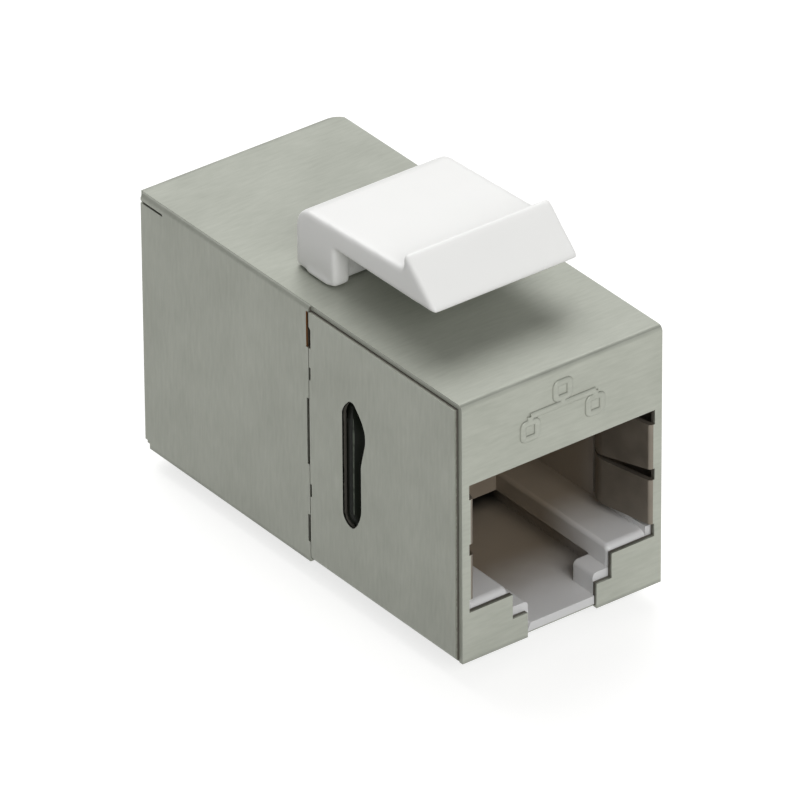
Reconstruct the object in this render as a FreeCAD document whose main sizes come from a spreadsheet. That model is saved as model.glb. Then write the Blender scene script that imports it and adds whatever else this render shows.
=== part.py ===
import FreeCAD, Part
import math
import os
import re
import Sketcher
from FreeCAD import Placement, Rotation, Vector

# Shielded in-line keystone jack: a folded metal box with a plug socket at each end.
# Every piece is drawn with x across, y running back from the front face and z up from the box's
# underside. The pieces of the rear socket are drawn the same way and turned half round.

# Driving sizes in millimetres
SIZES = {
    # the folded shield, with the inside radius of each bend
    "sheet_gauge": 0.3,
    "side_margin": 1.0,
    "roof_bend": 0.05,
    "floor_bend": 0.15,
    "rear_bend": 0.8,
    "front_round": 0.35,
    "edge_relief": 0.22,
    "seam_clearance": 0.05,
    "rear_seam": 0.1,
    "corner_slit_length": 2.2,
    "corner_slit_height": 0.14,
    "corner_slit_drop": 0.45,
    "corner_nick_length": 0.62,
    "corner_nick_height": 0.46,
    # the seam between the front and rear sides, with low tabs and a lip at its foot on the rear sheet
    "seam_tab": 0.18,
    "seam_mouth_height": 1.2,
    "seam_mouth_depth": 0.16,
    "seam_lip": 1.25,
    "low_tab_foot": 3.0,
    "high_tab_foot": 10.4,
    "seam_tab_height": 3.2,
    "seam_nick_length": 0.8,
    "seam_nick_depth": 0.13,
    # the port opening in the front and rear faces
    "port_width": 12.0,
    "port_height": 8.0,
    "port_floor": 3.1,
    "port_step_width": 6.75,
    "port_step_level": 1.55,
    "port_slot_width": 4.7,
    # the spring leaves folded in from the port's sides
    "leaf_foot_margin": 0.8,
    "leaf_head_margin": 0.9,
    "leaf_slit": 0.7,
    "leaf_taper": 0.55,
    "leaf_knee": 3.6,
    "leaf_tip": 0.8,
    "leaf_bow": 0.75,
    "leaf_flare": 0.4,
    "leaf_knee_radius": 0.6,
    "fold_round": 0.25,
    # the snap slot in each front side, bottle-shaped: it swells towards the front near its top
    "snap_setback": 1.53,
    "snap_foot": 4.0,
    "snap_width": 1.65,
    "snap_height": 8.0,
    "snap_foot_round": 0.78,
    "snap_swell": 0.4,
    "snap_swell_top": 1.4,
    "snap_swell_height": 0.7,
    "snap_swell_fall": 1.6,
    "snap_swell_round": 1.1,
    "snap_peak": 0.25,
    "snap_peak_round": 0.36,
    "snap_gap": 0.1,
    # the white socket housings
    "housing_clearance": 0.05,
    "cavity_inset": 0.05,
    "cavity_depth": 10.2,
    "shelf_rise": 0.25,
    "shelf_round": 0.45,
    "shelf_edge_round": 0.25,
    "lintel_inset": 0.2,
    "lintel_depth": 2.4,
    "bay_wall": 0.5,
    "channel_floor": 0.75,
    "tunnel_depth": 2.2,
    "undercut_width": 8.4,
    "undercut_level": 2.15,
    "stop_length": 1.7,
    "stop_round": 0.3,
    "leaf_pocket_room": 0.5,
    # the fixed lug under the front housing
    "lug_width": 9.0,
    "lug_start": 4.1,
    "lug_length": 2.2,
    "lug_drop": 1.2,
    "lug_round": 0.3,
    "lug_gap": 0.1,
    # the black contact carriers
    "carrier_start": 5.1,
    "carrier_overhang": 0.8,
    "carrier_headroom": 0.2,
    "nose_start": 3.9,
    "nose_height": 1.14,
    "nose_round": 0.5,
    "arm_gauge": 0.35,
    "arm_gap": 0.1,
    "boss_chamfer": 0.25,
    # the spring contacts
    "contact_pitch": 1.02,
    "contact_width": 0.4,
    "contact_gauge": 0.22,
    "contact_bend": 0.35,
    "dip_setback": 0.7,
    "dip_drop": 2.9,
    "tip_reach": 0.6,
    "tip_lift": 0.45,
    "tail_rise": 1.17,
    "tail_lead": 0.35,
    "tail_joggle": 0.7,
    "tail_reach": 0.2,
    "tail_clearance": 0.05,
    "groove_clearance": 0.08,
    # the circuit board between the sockets
    "board_gap": 0.65,
    "board_thickness": 1.0,
    "board_lead": 0.75,
    "board_ear_foot": 12.9,
    "board_margin": 0.9,
    # the white snap latch, which rocks on the rounded front edge of its foot
    "latch_width": 9.8,
    "latch_setback": 0.22,
    "latch_foot_length": 3.5,
    "latch_leg_width": 1.1,
    "latch_web_setback": 0.5,
    "arm_reach": 8.83,
    "arm_lift": 2.5,
    "arm_rise": 0.12,
    "arm_root_gauge": 1.26,
    "arm_climb": 0.46,
    "wedge_length": 2.8,
    "wedge_height": 1.24,
    "wedge_round": 0.2,
    "nose_gauge": 0.22,
    "tip_round": 0.1,
    "heel_round": 1.2,
    "side_round": 0.14,
    "foot_rest": 0.05,
    "foot_round": 0.3,
    "ledge_inset": 0.5,
    "ledge_length": 1.9,
    "ledge_height": 0.25,
    "ledge_reach": 0.12,
    "heel_setback": 1.83,
    "heel_radius": 0.8,
    "heel_width": 7.0,
    "heel_headroom": 0.5,
    "neck_gauge": 1.2,
    "neck_room": 0.3,
    "trough_floor": 0.38,
    "trough_wall": 0.85,
}
CONTACTS = 8
FIRST_CONTACT = (CONTACTS - 1) / 2

# Sizes and places that follow from the driving sizes
DERIVED = {
    "half_width": "port_width / 2 + side_margin",
    "inner_half": "half_width - sheet_gauge",
    "cut_half": "half_width - edge_relief",
    "port_half": "port_width / 2",
    "port_top": "port_floor + port_height",
    "leaf_foot": "port_floor + leaf_foot_margin",
    "leaf_height": "(port_height - leaf_foot_margin - leaf_head_margin - leaf_slit) / 2",
    "second_foot": "leaf_foot + leaf_height + leaf_slit",
    "leaf_length": "leaf_knee + leaf_tip",
    "housing_inset": "sheet_gauge + housing_clearance",
    "housing_half": "half_width - housing_inset",
    "cavity_half": "port_half - cavity_inset",
    "shelf_level": "port_floor + shelf_rise",
    "lintel_level": "port_top - lintel_inset",
    "carrier_level": "lintel_level + bay_wall",
    "carrier_half": "housing_half - arm_gauge",
    "carrier_end": "cavity_depth + carrier_overhang",
    "groove_half": "contact_width / 2 + groove_clearance",
    "groove_thick": "contact_gauge / 2 + groove_clearance",
    "nose_top": "carrier_level + nose_height",
    "run_level": "nose_top + groove_thick",
    "tail_level": "run_level + tail_rise",
    "loop_radius": "nose_height / 2 + groove_thick",
    "loop_depth": "nose_start + nose_height / 2",
    "dip_depth": "cavity_depth - dip_setback",
    "dip_level": "carrier_level - dip_drop",
    "tip_depth": "cavity_depth + tip_reach",
    "fall_height": "run_level - loop_radius - dip_level",
    "fall_length": "dip_depth - loop_depth",
    "fall_angle": "atan(fall_height / fall_length) - asin(loop_radius / hypot(fall_height; fall_length))",
    "apex_depth": "loop_depth - loop_radius / tan(fall_angle / 2)",
    "trough_radius": "heel_radius + heel_headroom",
    "under_roof": "run_level + groove_thick + trough_floor + 2 * trough_radius",
    "shell_height": "under_roof + sheet_gauge",
    "housing_top": "shell_height - housing_inset",
    "carrier_top": "housing_top - carrier_headroom",
    "heel_level": "under_roof - trough_radius",
    "board_front": "carrier_end + tail_lead + tail_joggle + board_gap",
    "board_rear": "board_front + board_thickness",
    "seam_depth": "board_front + board_lead",
    "tab_depth": "seam_depth - seam_tab",
    "side_end": "tab_depth - seam_clearance",
    "latch_front": "seam_depth + latch_setback",
    "latch_rear": "latch_front + latch_foot_length",
    "heel_depth": "latch_front + heel_setback",
    "shell_length": "heel_depth + trough_radius + trough_wall + housing_clearance + carrier_end",
    "snap_depth": "carrier_end - snap_setback",
    "snap_rear": "snap_depth + snap_width / 2",
    "snap_front": "snap_depth - snap_width / 2",
    "snap_head": "snap_foot + snap_height",
    "arm_half": "snap_width / 2 + snap_swell + snap_gap",
    "arm_foot": "snap_foot",
    "latch_tip": "latch_front - arm_reach",
    "wedge_rear": "latch_tip + wedge_length",
    "foot_level": "shell_height + foot_rest",
    "arm_under": "shell_height + arm_lift",
    "tip_under": "arm_under + arm_rise",
    "arm_top": "arm_under + arm_root_gauge",
    "wedge_foot": "arm_top + arm_climb",
}

# How near counts as the same place when an edge is looked up
SAME_PLACE = 1e-4

doc = FreeCAD.newDocument("keystone_jack")
sheet = doc.addObject("Spreadsheet::Sheet", "Sizes")
for row, (alias, content) in enumerate({**SIZES, **DERIVED}.items(), start=1):
    sheet.set("A%d" % row, alias.replace("_", " "))
    sheet.set("B%d" % row, "=" + content if alias in DERIVED else str(content))
    sheet.setAlias("B%d" % row, alias)
doc.recompute()


def cells(formula):
    """Point the size names of a formula at the sheet's cells."""
    return re.sub(r"[a-z]+(?:_[a-z]+)+", r"Sizes.\g<0>", formula)


def value(formula):
    """The present number of a formula of sizes."""
    return float(sheet.evalExpression(cells(formula)))


def bind(item, place, formula):
    """Tie one property of a document object to a formula of sizes."""
    item.setExpression(place, cells(formula))


def new_body(label, rear=False):
    """A named piece, seated in the jack's frame: bottom centre of the whole part."""
    body = doc.addObject("PartDesign::Body", label)
    body.Label = label
    if rear:
        body.Placement = Placement(Vector(), Rotation(Vector(0, 0, 1), 180))
    bind(body, "Placement.Base.y", "shell_length / 2" if rear else "-shell_length / 2")
    bind(body, "Placement.Base.z", "lug_drop")
    return body


def sketch_on(body, role, level):
    """An empty sketch parallel to one of the body's own origin planes, at a level along its axis."""
    plane = next(item for item in body.Origin.OriginFeatures if item.Role == role)
    sketch = body.newObject("Sketcher::SketchObject", body.Label + "_sketch")
    sketch.AttachmentSupport = (plane, [""])
    sketch.MapMode = "FlatFace"
    faces_back = role == "XZ_Plane"
    bind(sketch, "AttachmentOffset.Base.z", "-(%s)" % level if faces_back else level)
    return sketch


def pin(sketch, kind, edge, end, formula):
    """Fix one coordinate of a sketch point by a formula of sizes."""
    number = sketch.addConstraint(Sketcher.Constraint(kind, -1, 1, edge, end, value(formula)))
    bind(sketch, "Constraints[%d]" % number, formula)


def limit_radius(sketch, arc, formula):
    """Fix the radius of a sketch arc or circle by a formula of sizes."""
    number = sketch.addConstraint(Sketcher.Constraint("Radius", arc, value(formula)))
    bind(sketch, "Constraints[%d]" % number, formula)


def add_loop(sketch, points, closed=True):
    """Straight edges through points whose coordinates are formulas; gives the first edge's number."""
    first = sketch.GeometryCount
    corners = [Vector(value(across), value(up), 0) for across, up in points]
    ends = corners[1:] + corners[:1] if closed else corners[1:]
    for start, end in zip(corners, ends):
        sketch.addGeometry(Part.LineSegment(start, end), False)
    count = len(ends)
    for step in range(count if closed else count - 1):
        following = first + (step + 1) % count
        sketch.addConstraint(Sketcher.Constraint("Coincident", first + step, 2, following, 1))
    for step, (across, up) in enumerate(points):
        edge, end = (first + step, 1) if step < count else (first + step - 1, 2)
        pin(sketch, "DistanceX", edge, end, across)
        pin(sketch, "DistanceY", edge, end, up)
    return first


def round_corners(sketch, first, radii):
    """Round the far ends of the sketch edges that follow a first one, each by its own formula."""
    for step, radius in enumerate(radii):
        sketch.fillet(first + step, 2, value(radius), True, True)
        kinds = [item.TypeId for item in sketch.Geometry]
        newest = len(kinds) - 1 - kinds[::-1].index("Part::GeomArcOfCircle")
        limit_radius(sketch, newest, radius)


def outline(body, role, level, *loops):
    """A sketch of one or more closed straight-edged loops."""
    sketch = sketch_on(body, role, level)
    for points in loops:
        add_loop(sketch, points)
    return sketch


def disc(body, role, level, across, up, radius):
    """A sketch of one circle."""
    sketch = sketch_on(body, role, level)
    circle = Part.Circle(Vector(value(across), value(up), 0), Vector(0, 0, 1), value(radius))
    ring = sketch.addGeometry(circle, False)
    pin(sketch, "DistanceX", ring, 3, across)
    pin(sketch, "DistanceY", ring, 3, up)
    limit_radius(sketch, ring, radius)
    return sketch


def box_loop(left, right, low, high):
    return [(left, low), (right, low), (right, high), (left, high)]


def mirrored_loop(points):
    """A loop symmetric about the sketch's upright axis, from its right half listed upwards."""
    other = [("-(%s)" % across, up) for across, up in reversed(points)]
    return points + other


def extrude(body, kind, sketch, length, reverse=False, symmetric=False):
    feature = body.newObject(kind, body.Label + "_" + kind.split("::")[1].lower())
    feature.Profile = sketch
    feature.SideType = "Symmetric" if symmetric else "One side"
    feature.Reversed = reverse
    bind(feature, "Length", length)
    doc.recompute()
    return feature


def pad(body, sketch, length, reverse=False, symmetric=False):
    return extrude(body, "PartDesign::Pad", sketch, length, reverse, symmetric)


def pocket(body, sketch, length, reverse=False, symmetric=False):
    """Cut a sketch into the body, and make sure that it did cut."""
    before = body.Shape.Volume
    feature = extrude(body, "PartDesign::Pocket", sketch, length, reverse, symmetric)
    if not body.Shape.Volume < before:
        raise RuntimeError("a pocket of %s cut nothing" % body.Label)
    return feature


def straight_edges(body, axis, places):
    """Names of the body's straight edges along an axis that pass through places, given as formulas."""
    others = [name for name in "xyz" if name != axis]
    wanted = [tuple(value(formula) for formula in place) for place in places]
    names = []
    for number, edge in enumerate(body.Tip.Shape.Edges, start=1):
        if edge.Degenerated or edge.Curve.TypeId != "Part::GeomLine":
            continue
        if not math.isclose(abs(getattr(edge.Curve.Direction, axis)), 1, rel_tol=SAME_PLACE):
            continue
        spot = tuple(getattr(edge.CenterOfMass, name) for name in others)
        if any(abs(spot[0] - a) + abs(spot[1] - b) < SAME_PLACE for a, b in wanted):
            names.append("Edge%d" % number)
    if not names:
        raise RuntimeError("no edge of %s at %s" % (body.Label, places))
    return names


def rim_edges(body, levels):
    """Names of all edges that lie in the planes x = level."""
    wanted = [value(level) for level in levels]
    names = []
    for number, edge in enumerate(body.Tip.Shape.Edges, start=1):
        box = edge.BoundBox
        if any(abs(box.XMin - x) + abs(box.XMax - x) < SAME_PLACE for x in wanted):
            names.append("Edge%d" % number)
    if not names:
        raise RuntimeError("no edge of %s in the planes %s" % (body.Label, levels))
    return names


def ease_edges(body, names, kind, measure, size):
    """Fillet or chamfer named edges of the body's last feature."""
    base = body.Tip
    feature = body.newObject("PartDesign::" + kind, body.Label + "_" + kind.lower())
    feature.Base = (base, names)
    bind(feature, measure, size)
    body.Tip = feature
    doc.recompute()
    return feature


def fillet(body, names, radius):
    return ease_edges(body, names, "Fillet", "Radius", radius)


def chamfer(body, names, size):
    return ease_edges(body, names, "Chamfer", "Size", size)


def mirror(body, features):
    """Repeat features on the other side of the middle plane."""
    plane = next(item for item in body.Origin.OriginFeatures if item.Role == "YZ_Plane")
    feature = body.newObject("PartDesign::Mirrored", body.Label + "_mirrored")
    feature.Originals = features
    feature.MirrorPlane = (plane, [""])
    body.Tip = feature
    doc.recompute()
    return feature


def row_of_contacts(body, feature):
    """Repeat a feature, drawn at the first contact, at each contact's place."""
    axis = next(item for item in body.Origin.OriginFeatures if item.Role == "X_Axis")
    pattern = body.newObject("PartDesign::LinearPattern", body.Label + "_row")
    pattern.Originals = [feature]
    pattern.Direction = (axis, [""])
    pattern.Occurrences = CONTACTS
    bind(pattern, "Length", "contact_pitch * %d" % (CONTACTS - 1))
    body.Tip = pattern
    doc.recompute()
    return pattern


def contact_groove(low, high):
    """Loop of the room for the first contact, between two levels."""
    first = "contact_pitch * %s" % FIRST_CONTACT
    return box_loop("-%s - groove_half" % first, "-%s + groove_half" % first, low, high)


def quarter_corner(body, level, radius):
    """Sketch of what lies between a square corner and its rounding, at the rear right of the box."""
    sketch = sketch_on(body, "XY_Plane", level)
    across = "half_width - rear_bend - sheet_gauge"
    back = "shell_length - rear_bend - sheet_gauge"
    centre = Vector(value(across), value(back), 0)
    size = value(radius)
    corner = centre + Vector(size, size, 0)
    start = centre + Vector(size, 0, 0)
    end = centre + Vector(0, size, 0)
    circle = Part.Circle(centre, Vector(0, 0, 1), size)
    arc = sketch.addGeometry(Part.ArcOfCircle(circle, 0, math.pi / 2), False)
    side = sketch.addGeometry(Part.LineSegment(start, corner), False)
    rear = sketch.addGeometry(Part.LineSegment(corner, end), False)
    sketch.addConstraint(Sketcher.Constraint("Coincident", side, 1, arc, 1))
    sketch.addConstraint(Sketcher.Constraint("Coincident", side, 2, rear, 1))
    sketch.addConstraint(Sketcher.Constraint("Coincident", rear, 2, arc, 2))
    pin(sketch, "DistanceX", arc, 3, across)
    pin(sketch, "DistanceY", arc, 3, back)
    limit_radius(sketch, arc, radius)
    pin(sketch, "DistanceY", arc, 1, back)
    pin(sketch, "DistanceX", arc, 2, across)
    pin(sketch, "DistanceX", side, 2, "%s + %s" % (across, radius))
    pin(sketch, "DistanceY", side, 2, "%s + %s" % (back, radius))
    return sketch


def bottle(body, level, gap):
    """Outline of the snap slot on a side plane, drawn inside it by a gap and rounded at every corner."""
    swell = "snap_front - snap_swell + " + gap
    swell_top = "snap_head - snap_swell_top"
    swell_low = swell_top + " - snap_swell_height"
    straight = "snap_front + " + gap
    points = [
        ("snap_rear - " + gap, "snap_foot + " + gap),
        ("snap_rear - " + gap, swell_top),
        ("snap_depth + snap_peak", "snap_head - " + gap),
        ("snap_depth - snap_peak", "snap_head - " + gap),
        (swell, swell_top),
        (swell, swell_low),
        (straight, swell_low + " - snap_swell_fall"),
        (straight, "snap_foot + " + gap),
    ]
    foot_round = "snap_foot_round - " + gap
    rounds = ["snap_swell_round", "snap_peak_round", "snap_peak_round", "snap_swell_round"]
    rounds += ["snap_swell_round", "snap_swell_round", foot_round, foot_round]
    sketch = sketch_on(body, "YZ_Plane", level)
    first = add_loop(sketch, points)
    round_corners(sketch, first, rounds)
    return sketch


def port_face(left, right, top):
    """Outline of an end face with its stepped port, open at the bottom, and notches beside the folds."""
    wide = "port_half + sheet_gauge"
    port = [
        ("port_slot_width / 2", "0"),
        ("port_slot_width / 2", "port_step_level"),
        ("port_step_width / 2", "port_step_level"),
        ("port_step_width / 2", "port_floor"),
        (wide, "port_floor"),
        (wide, "leaf_foot"),
        ("port_half", "leaf_foot"),
        ("port_half", "leaf_foot + leaf_height"),
        (wide, "leaf_foot + leaf_height"),
        (wide, "second_foot"),
        ("port_half", "second_foot"),
        ("port_half", "second_foot + leaf_height"),
        (wide, "second_foot + leaf_height"),
        (wide, "port_top"),
    ]
    return mirrored_loop(port) + [(left, "0"), (left, top), (right, top), (right, "0")]


def spring_leaves(body):
    """Two leaves at each side of each port, folded in, bowed towards the plug and flared at the tip."""
    bowed = "port_half - leaf_bow"
    inside = [("0", "port_half"), ("leaf_knee", bowed), ("leaf_length", bowed + " + leaf_flare")]
    outside = [(depth, across + " + sheet_gauge") for depth, across in reversed(inside)]
    taper_foot = "second_foot - leaf_taper"
    leaves = []
    for place in ("%s", "shell_length - (%s)"):
        plan = [(across, place % depth) for depth, across in inside + outside]
        leaves.append(pad(body, outline(body, "XY_Plane", "leaf_foot", plan), "leaf_height"))
        tall = outline(body, "XY_Plane", taper_foot, plan)
        leaves.append(pad(body, tall, "leaf_height + leaf_taper"))
    mirror(body, leaves)

    # the upper leaf grows wider towards its tip, so the slit below it narrows
    wedges = []
    for place in ("%s", "shell_length - %s"):
        root = place % "0"
        wedges.append([(root, taper_foot), (place % "leaf_length", taper_foot), (root, "second_foot")])
    slits = outline(body, "YZ_Plane", "0", *wedges)
    pocket(body, slits, "port_width + 2 * sheet_gauge", symmetric=True)

    knees = ((bowed, "leaf_knee_radius + sheet_gauge"), (bowed + " + sheet_gauge", "leaf_knee_radius"))
    depths = ("leaf_knee", "shell_length - leaf_knee")
    for across, radius in knees:
        places = [("%s(%s)" % (side, across), depth) for side in ("", "-") for depth in depths]
        fillet(body, straight_edges(body, "z", places), radius)
    ends = ("0", "shell_length")
    folds = [(side + "port_half", depth) for side in ("", "-") for depth in ends]
    fillet(body, straight_edges(body, "z", folds), "fold_round")


def upper_shield():
    """One folded sheet: roof, rear sides, front face and rear face, with the spring leaves."""
    body = new_body("upper_shield")
    section = [("half_width", "0"), ("half_width", "shell_height")]
    inside = [("-inner_half", "0"), ("-inner_half", "under_roof")]
    inside += [("inner_half", "under_roof"), ("inner_half", "0")]
    channel = outline(body, "XZ_Plane", "tab_depth", mirrored_loop(section) + inside)
    pad(body, channel, "shell_length - edge_relief - tab_depth", reverse=True)
    outer_bends = [("half_width", "shell_height"), ("-half_width", "shell_height")]
    inner_bends = [("inner_half", "under_roof"), ("-inner_half", "under_roof")]
    fillet(body, straight_edges(body, "y", outer_bends), "roof_bend + sheet_gauge")
    fillet(body, straight_edges(body, "y", inner_bends), "roof_bend")

    roof = box_loop("-cut_half", "cut_half", "0", "shell_length")
    pad(body, outline(body, "XY_Plane", "under_roof", roof), "sheet_gauge")
    front = port_face("-cut_half", "cut_half", "shell_height")
    pad(body, outline(body, "XZ_Plane", "0", front), "sheet_gauge", reverse=True)
    rear = port_face("-cut_half", "half_width", "under_roof")
    pad(body, outline(body, "XZ_Plane", "shell_length - sheet_gauge", rear), "sheet_gauge", reverse=True)
    fillet(body, straight_edges(body, "x", [("0", "shell_height")]), "front_round")
    spring_leaves(body)

    # the rear right corner is a wide bend, not a seam
    pad(body, quarter_corner(body, "0", "rear_bend"), "under_roof")
    pocket(body, quarter_corner(body, "shell_height", "(rear_bend + sheet_gauge)"), "shell_height")
    seam_end = "half_width - rear_bend - sheet_gauge"
    seam = box_loop("-half_width", seam_end, "under_roof - rear_seam", "under_roof")
    pocket(body, outline(body, "XZ_Plane", "shell_length", seam), "edge_relief", reverse=True)
    slit_top = "shell_height - corner_slit_drop"
    slit_start = "shell_length - corner_slit_length"
    slit = box_loop(slit_start, "shell_length", slit_top + " - corner_slit_height", slit_top)
    nick = box_loop("shell_length - corner_nick_length", "shell_length", "0", "corner_nick_height")
    pocket(body, outline(body, "YZ_Plane", "-inner_half", slit, nick), "sheet_gauge")

    # the low tabs and the lip of the seam are what is left between three shallow cuts
    low_head = "low_tab_foot + seam_tab_height"
    high_head = "high_tab_foot + seam_tab_height"
    cuts = [
        box_loop("tab_depth", "seam_depth", "seam_lip", "low_tab_foot"),
        box_loop("tab_depth", "seam_depth", low_head, "high_tab_foot"),
        box_loop("tab_depth", "seam_depth", high_head, "under_roof - roof_bend"),
    ]
    pocket(body, outline(body, "YZ_Plane", "0", *cuts), "2 * half_width", symmetric=True)

    near = "heel_depth - neck_gauge / 2 - neck_room"
    far = "heel_depth + neck_gauge / 2 + neck_room"
    slot = box_loop("-heel_width / 2 - neck_room", "heel_width / 2 + neck_room", near, far)
    pocket(body, outline(body, "XY_Plane", "shell_height", slot), "sheet_gauge")
    return body


def lower_shield():
    """One folded sheet: the bottom and the two front sides, with the snap slots."""
    body = new_body("lower_shield")
    start = "sheet_gauge + seam_clearance"
    top = "under_roof - seam_clearance"
    section = [("half_width", "0"), ("half_width", top), ("inner_half", top), ("inner_half", "sheet_gauge")]
    channel = outline(body, "XZ_Plane", start, mirrored_loop(section))
    pad(body, channel, "side_end - (%s)" % start, reverse=True)
    outer_bends = [("half_width", "0"), ("-half_width", "0")]
    inner_bends = [("inner_half", "sheet_gauge"), ("-inner_half", "sheet_gauge")]
    fillet(body, straight_edges(body, "y", outer_bends), "floor_bend + sheet_gauge")
    fillet(body, straight_edges(body, "y", inner_bends), "floor_bend")

    tail_half = "inner_half - seam_clearance"
    tail_end = "shell_length - sheet_gauge - seam_clearance"
    tail = box_loop("-(%s)" % tail_half, tail_half, "side_end - sheet_gauge", tail_end)
    pad(body, outline(body, "XY_Plane", "0", tail), "sheet_gauge")
    corner = quarter_corner(body, "sheet_gauge", "(rear_bend - seam_clearance)")
    pocket(body, corner, "sheet_gauge")

    lug_half = "lug_width / 2 + lug_gap"
    lug_end = "lug_start + lug_length + lug_gap"
    window = box_loop("-(%s)" % lug_half, lug_half, "lug_start - lug_gap", lug_end)
    pocket(body, outline(body, "XY_Plane", "sheet_gauge", window), "sheet_gauge")
    pocket(body, bottle(body, "0", "0"), "2 * half_width", symmetric=True)

    # short nicks open the seam in the middle of each tab, and a mouth opens it above the upper tab
    loops = []
    for foot in ("low_tab_foot", "high_tab_foot"):
        middle = foot + " + seam_tab_height / 2"
        low = middle + " - seam_nick_length / 2"
        high = middle + " + seam_nick_length / 2"
        loops.append(box_loop("side_end - seam_nick_depth", "side_end", low, high))
    mouth_low = "high_tab_foot + seam_tab_height"
    mouth_high = mouth_low + " + seam_mouth_height"
    mouth_end = "side_end - seam_mouth_depth"
    loops.append([
        ("side_end", mouth_low),
        (mouth_end, mouth_low),
        (mouth_end, mouth_high),
        ("side_end", mouth_high + " + seam_mouth_depth"),
    ])
    pocket(body, outline(body, "YZ_Plane", "0", *loops), "2 * half_width", symmetric=True)
    return body


def socket_housing(label, inner_end, rear):
    """White moulding round one plug cavity, with shelves, tab channel, stops and contact comb."""
    body = new_body(label, rear)
    low_chamfer = "floor_bend + housing_clearance"
    high_chamfer = "roof_bend + housing_clearance"
    block = [
        ("housing_half - (%s)" % low_chamfer, "housing_inset"),
        ("housing_half", "housing_inset + " + low_chamfer),
        ("housing_half", "housing_top - (%s)" % high_chamfer),
        ("housing_half - (%s)" % high_chamfer, "housing_top"),
    ]
    length = inner_end + " - housing_inset"
    pad(body, outline(body, "XZ_Plane", "housing_inset", mirrored_loop(block)), length, reverse=True)
    if rear:
        fillet(body, straight_edges(body, "z", [("-housing_half", "housing_inset")]), "rear_bend")

    channel_half = "port_step_width / 2"
    cavity = [
        (channel_half, "shelf_level"),
        ("cavity_half", "shelf_level"),
        ("cavity_half", "lintel_level"),
    ]
    mouth = [
        ("port_slot_width / 2", "channel_floor"),
        ("port_slot_width / 2", "port_step_level"),
        (channel_half, "port_step_level"),
    ]
    pocket(body, outline(body, "XZ_Plane", "housing_inset", mirrored_loop(mouth + cavity)), "stop_length")
    behind_stops = "housing_inset + stop_length"
    hall = [
        ("undercut_width / 2", "channel_floor"),
        ("undercut_width / 2", "undercut_level"),
        (channel_half, "undercut_level"),
    ]
    hall_sketch = outline(body, "XZ_Plane", behind_stops, mirrored_loop(hall + cavity))
    pocket(body, hall_sketch, "cavity_depth - (%s)" % behind_stops)
    tunnel = box_loop("-undercut_width / 2", "undercut_width / 2", "channel_floor", "undercut_level")
    pocket(body, outline(body, "XZ_Plane", "cavity_depth", tunnel), "tunnel_depth")

    # the carrier drops into a bay that is open above and rests on the cavity's side walls
    bay_start = "housing_inset + lintel_depth"
    bay_end = "carrier_end + housing_clearance" if rear else inner_end
    bay_half = "carrier_half + housing_clearance"
    bay_floor = "carrier_level - housing_clearance"
    bay = box_loop("-(%s)" % bay_half, bay_half, bay_start, bay_end)
    pocket(body, outline(body, "XY_Plane", "housing_top", bay), "housing_top - (%s)" % bay_floor)
    throat = box_loop("-cavity_half", "cavity_half", bay_start, "cavity_depth")
    pocket(body, outline(body, "XY_Plane", bay_floor, throat), bay_floor + " - lintel_level")

    # windows for the spring leaves, and grooves outside for the carrier's arms
    window_top = "second_foot + leaf_height + leaf_pocket_room / 2"
    window_floor = "leaf_foot - leaf_pocket_room / 2"
    window = box_loop("housing_inset", "leaf_length + leaf_pocket_room", window_floor, window_top)
    pocket(body, outline(body, "YZ_Plane", "0", window), "2 * half_width", symmetric=True)
    groove_near = "snap_depth - arm_half - arm_gap"
    groove_far = "snap_depth + arm_half + arm_gap"
    groove = box_loop(groove_near, groove_far, "arm_foot - arm_gap", "housing_top")
    groove_sketch = outline(body, "YZ_Plane", "housing_half", groove)
    mirror(body, [pocket(body, groove_sketch, "arm_gauge + housing_clearance")])

    # one comb slot for each contact tip in the cavity's back wall
    slot = contact_groove("dip_level - contact_gauge - contact_bend", bay_floor)
    slot_sketch = outline(body, "XZ_Plane", "cavity_depth", slot)
    row_of_contacts(body, pocket(body, slot_sketch, "tip_reach + contact_bend"))

    fillet(body, straight_edges(body, "x", [("housing_inset", "shelf_level")]), "shelf_round")
    stop_edges = [(side + "port_slot_width / 2", "port_step_level") for side in ("", "-")]
    fillet(body, straight_edges(body, "y", stop_edges), "stop_round")
    shelf_edges = [(side + channel_half, "shelf_level") for side in ("", "-")]
    fillet(body, straight_edges(body, "y", shelf_edges), "shelf_edge_round")
    if rear:
        latch_trough(body, inner_end)
    else:
        fixed_lug(body)
    return body


def latch_trough(body, inner_end):
    """Round-bottomed trough for the latch's heel, and openings for the contacts' tails."""
    middle = "shell_length - heel_depth"
    width = "heel_width + 2 * neck_room"
    near = middle + " - trough_radius"
    far = middle + " + trough_radius"
    sides = outline(body, "YZ_Plane", "0", box_loop(near, far, "heel_level", "housing_top"))
    pocket(body, sides, width, symmetric=True)
    pocket(body, disc(body, "YZ_Plane", "0", middle, "heel_level", "trough_radius"), width, symmetric=True)
    wide = "contact_pitch * %d / 2" % CONTACTS
    window = box_loop("-" + wide, wide, "run_level - groove_thick", "run_level + groove_thick")
    bay_end = "carrier_end + housing_clearance"
    pocket(body, outline(body, "XZ_Plane", bay_end, window), "%s - (%s)" % (inner_end, bay_end))
    relief = box_loop("-" + wide, wide, "tail_level - groove_thick", "tail_level + groove_thick")
    relief_sketch = outline(body, "XZ_Plane", inner_end, relief)
    pocket(body, relief_sketch, "tail_reach + tail_clearance", reverse=True)


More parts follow.
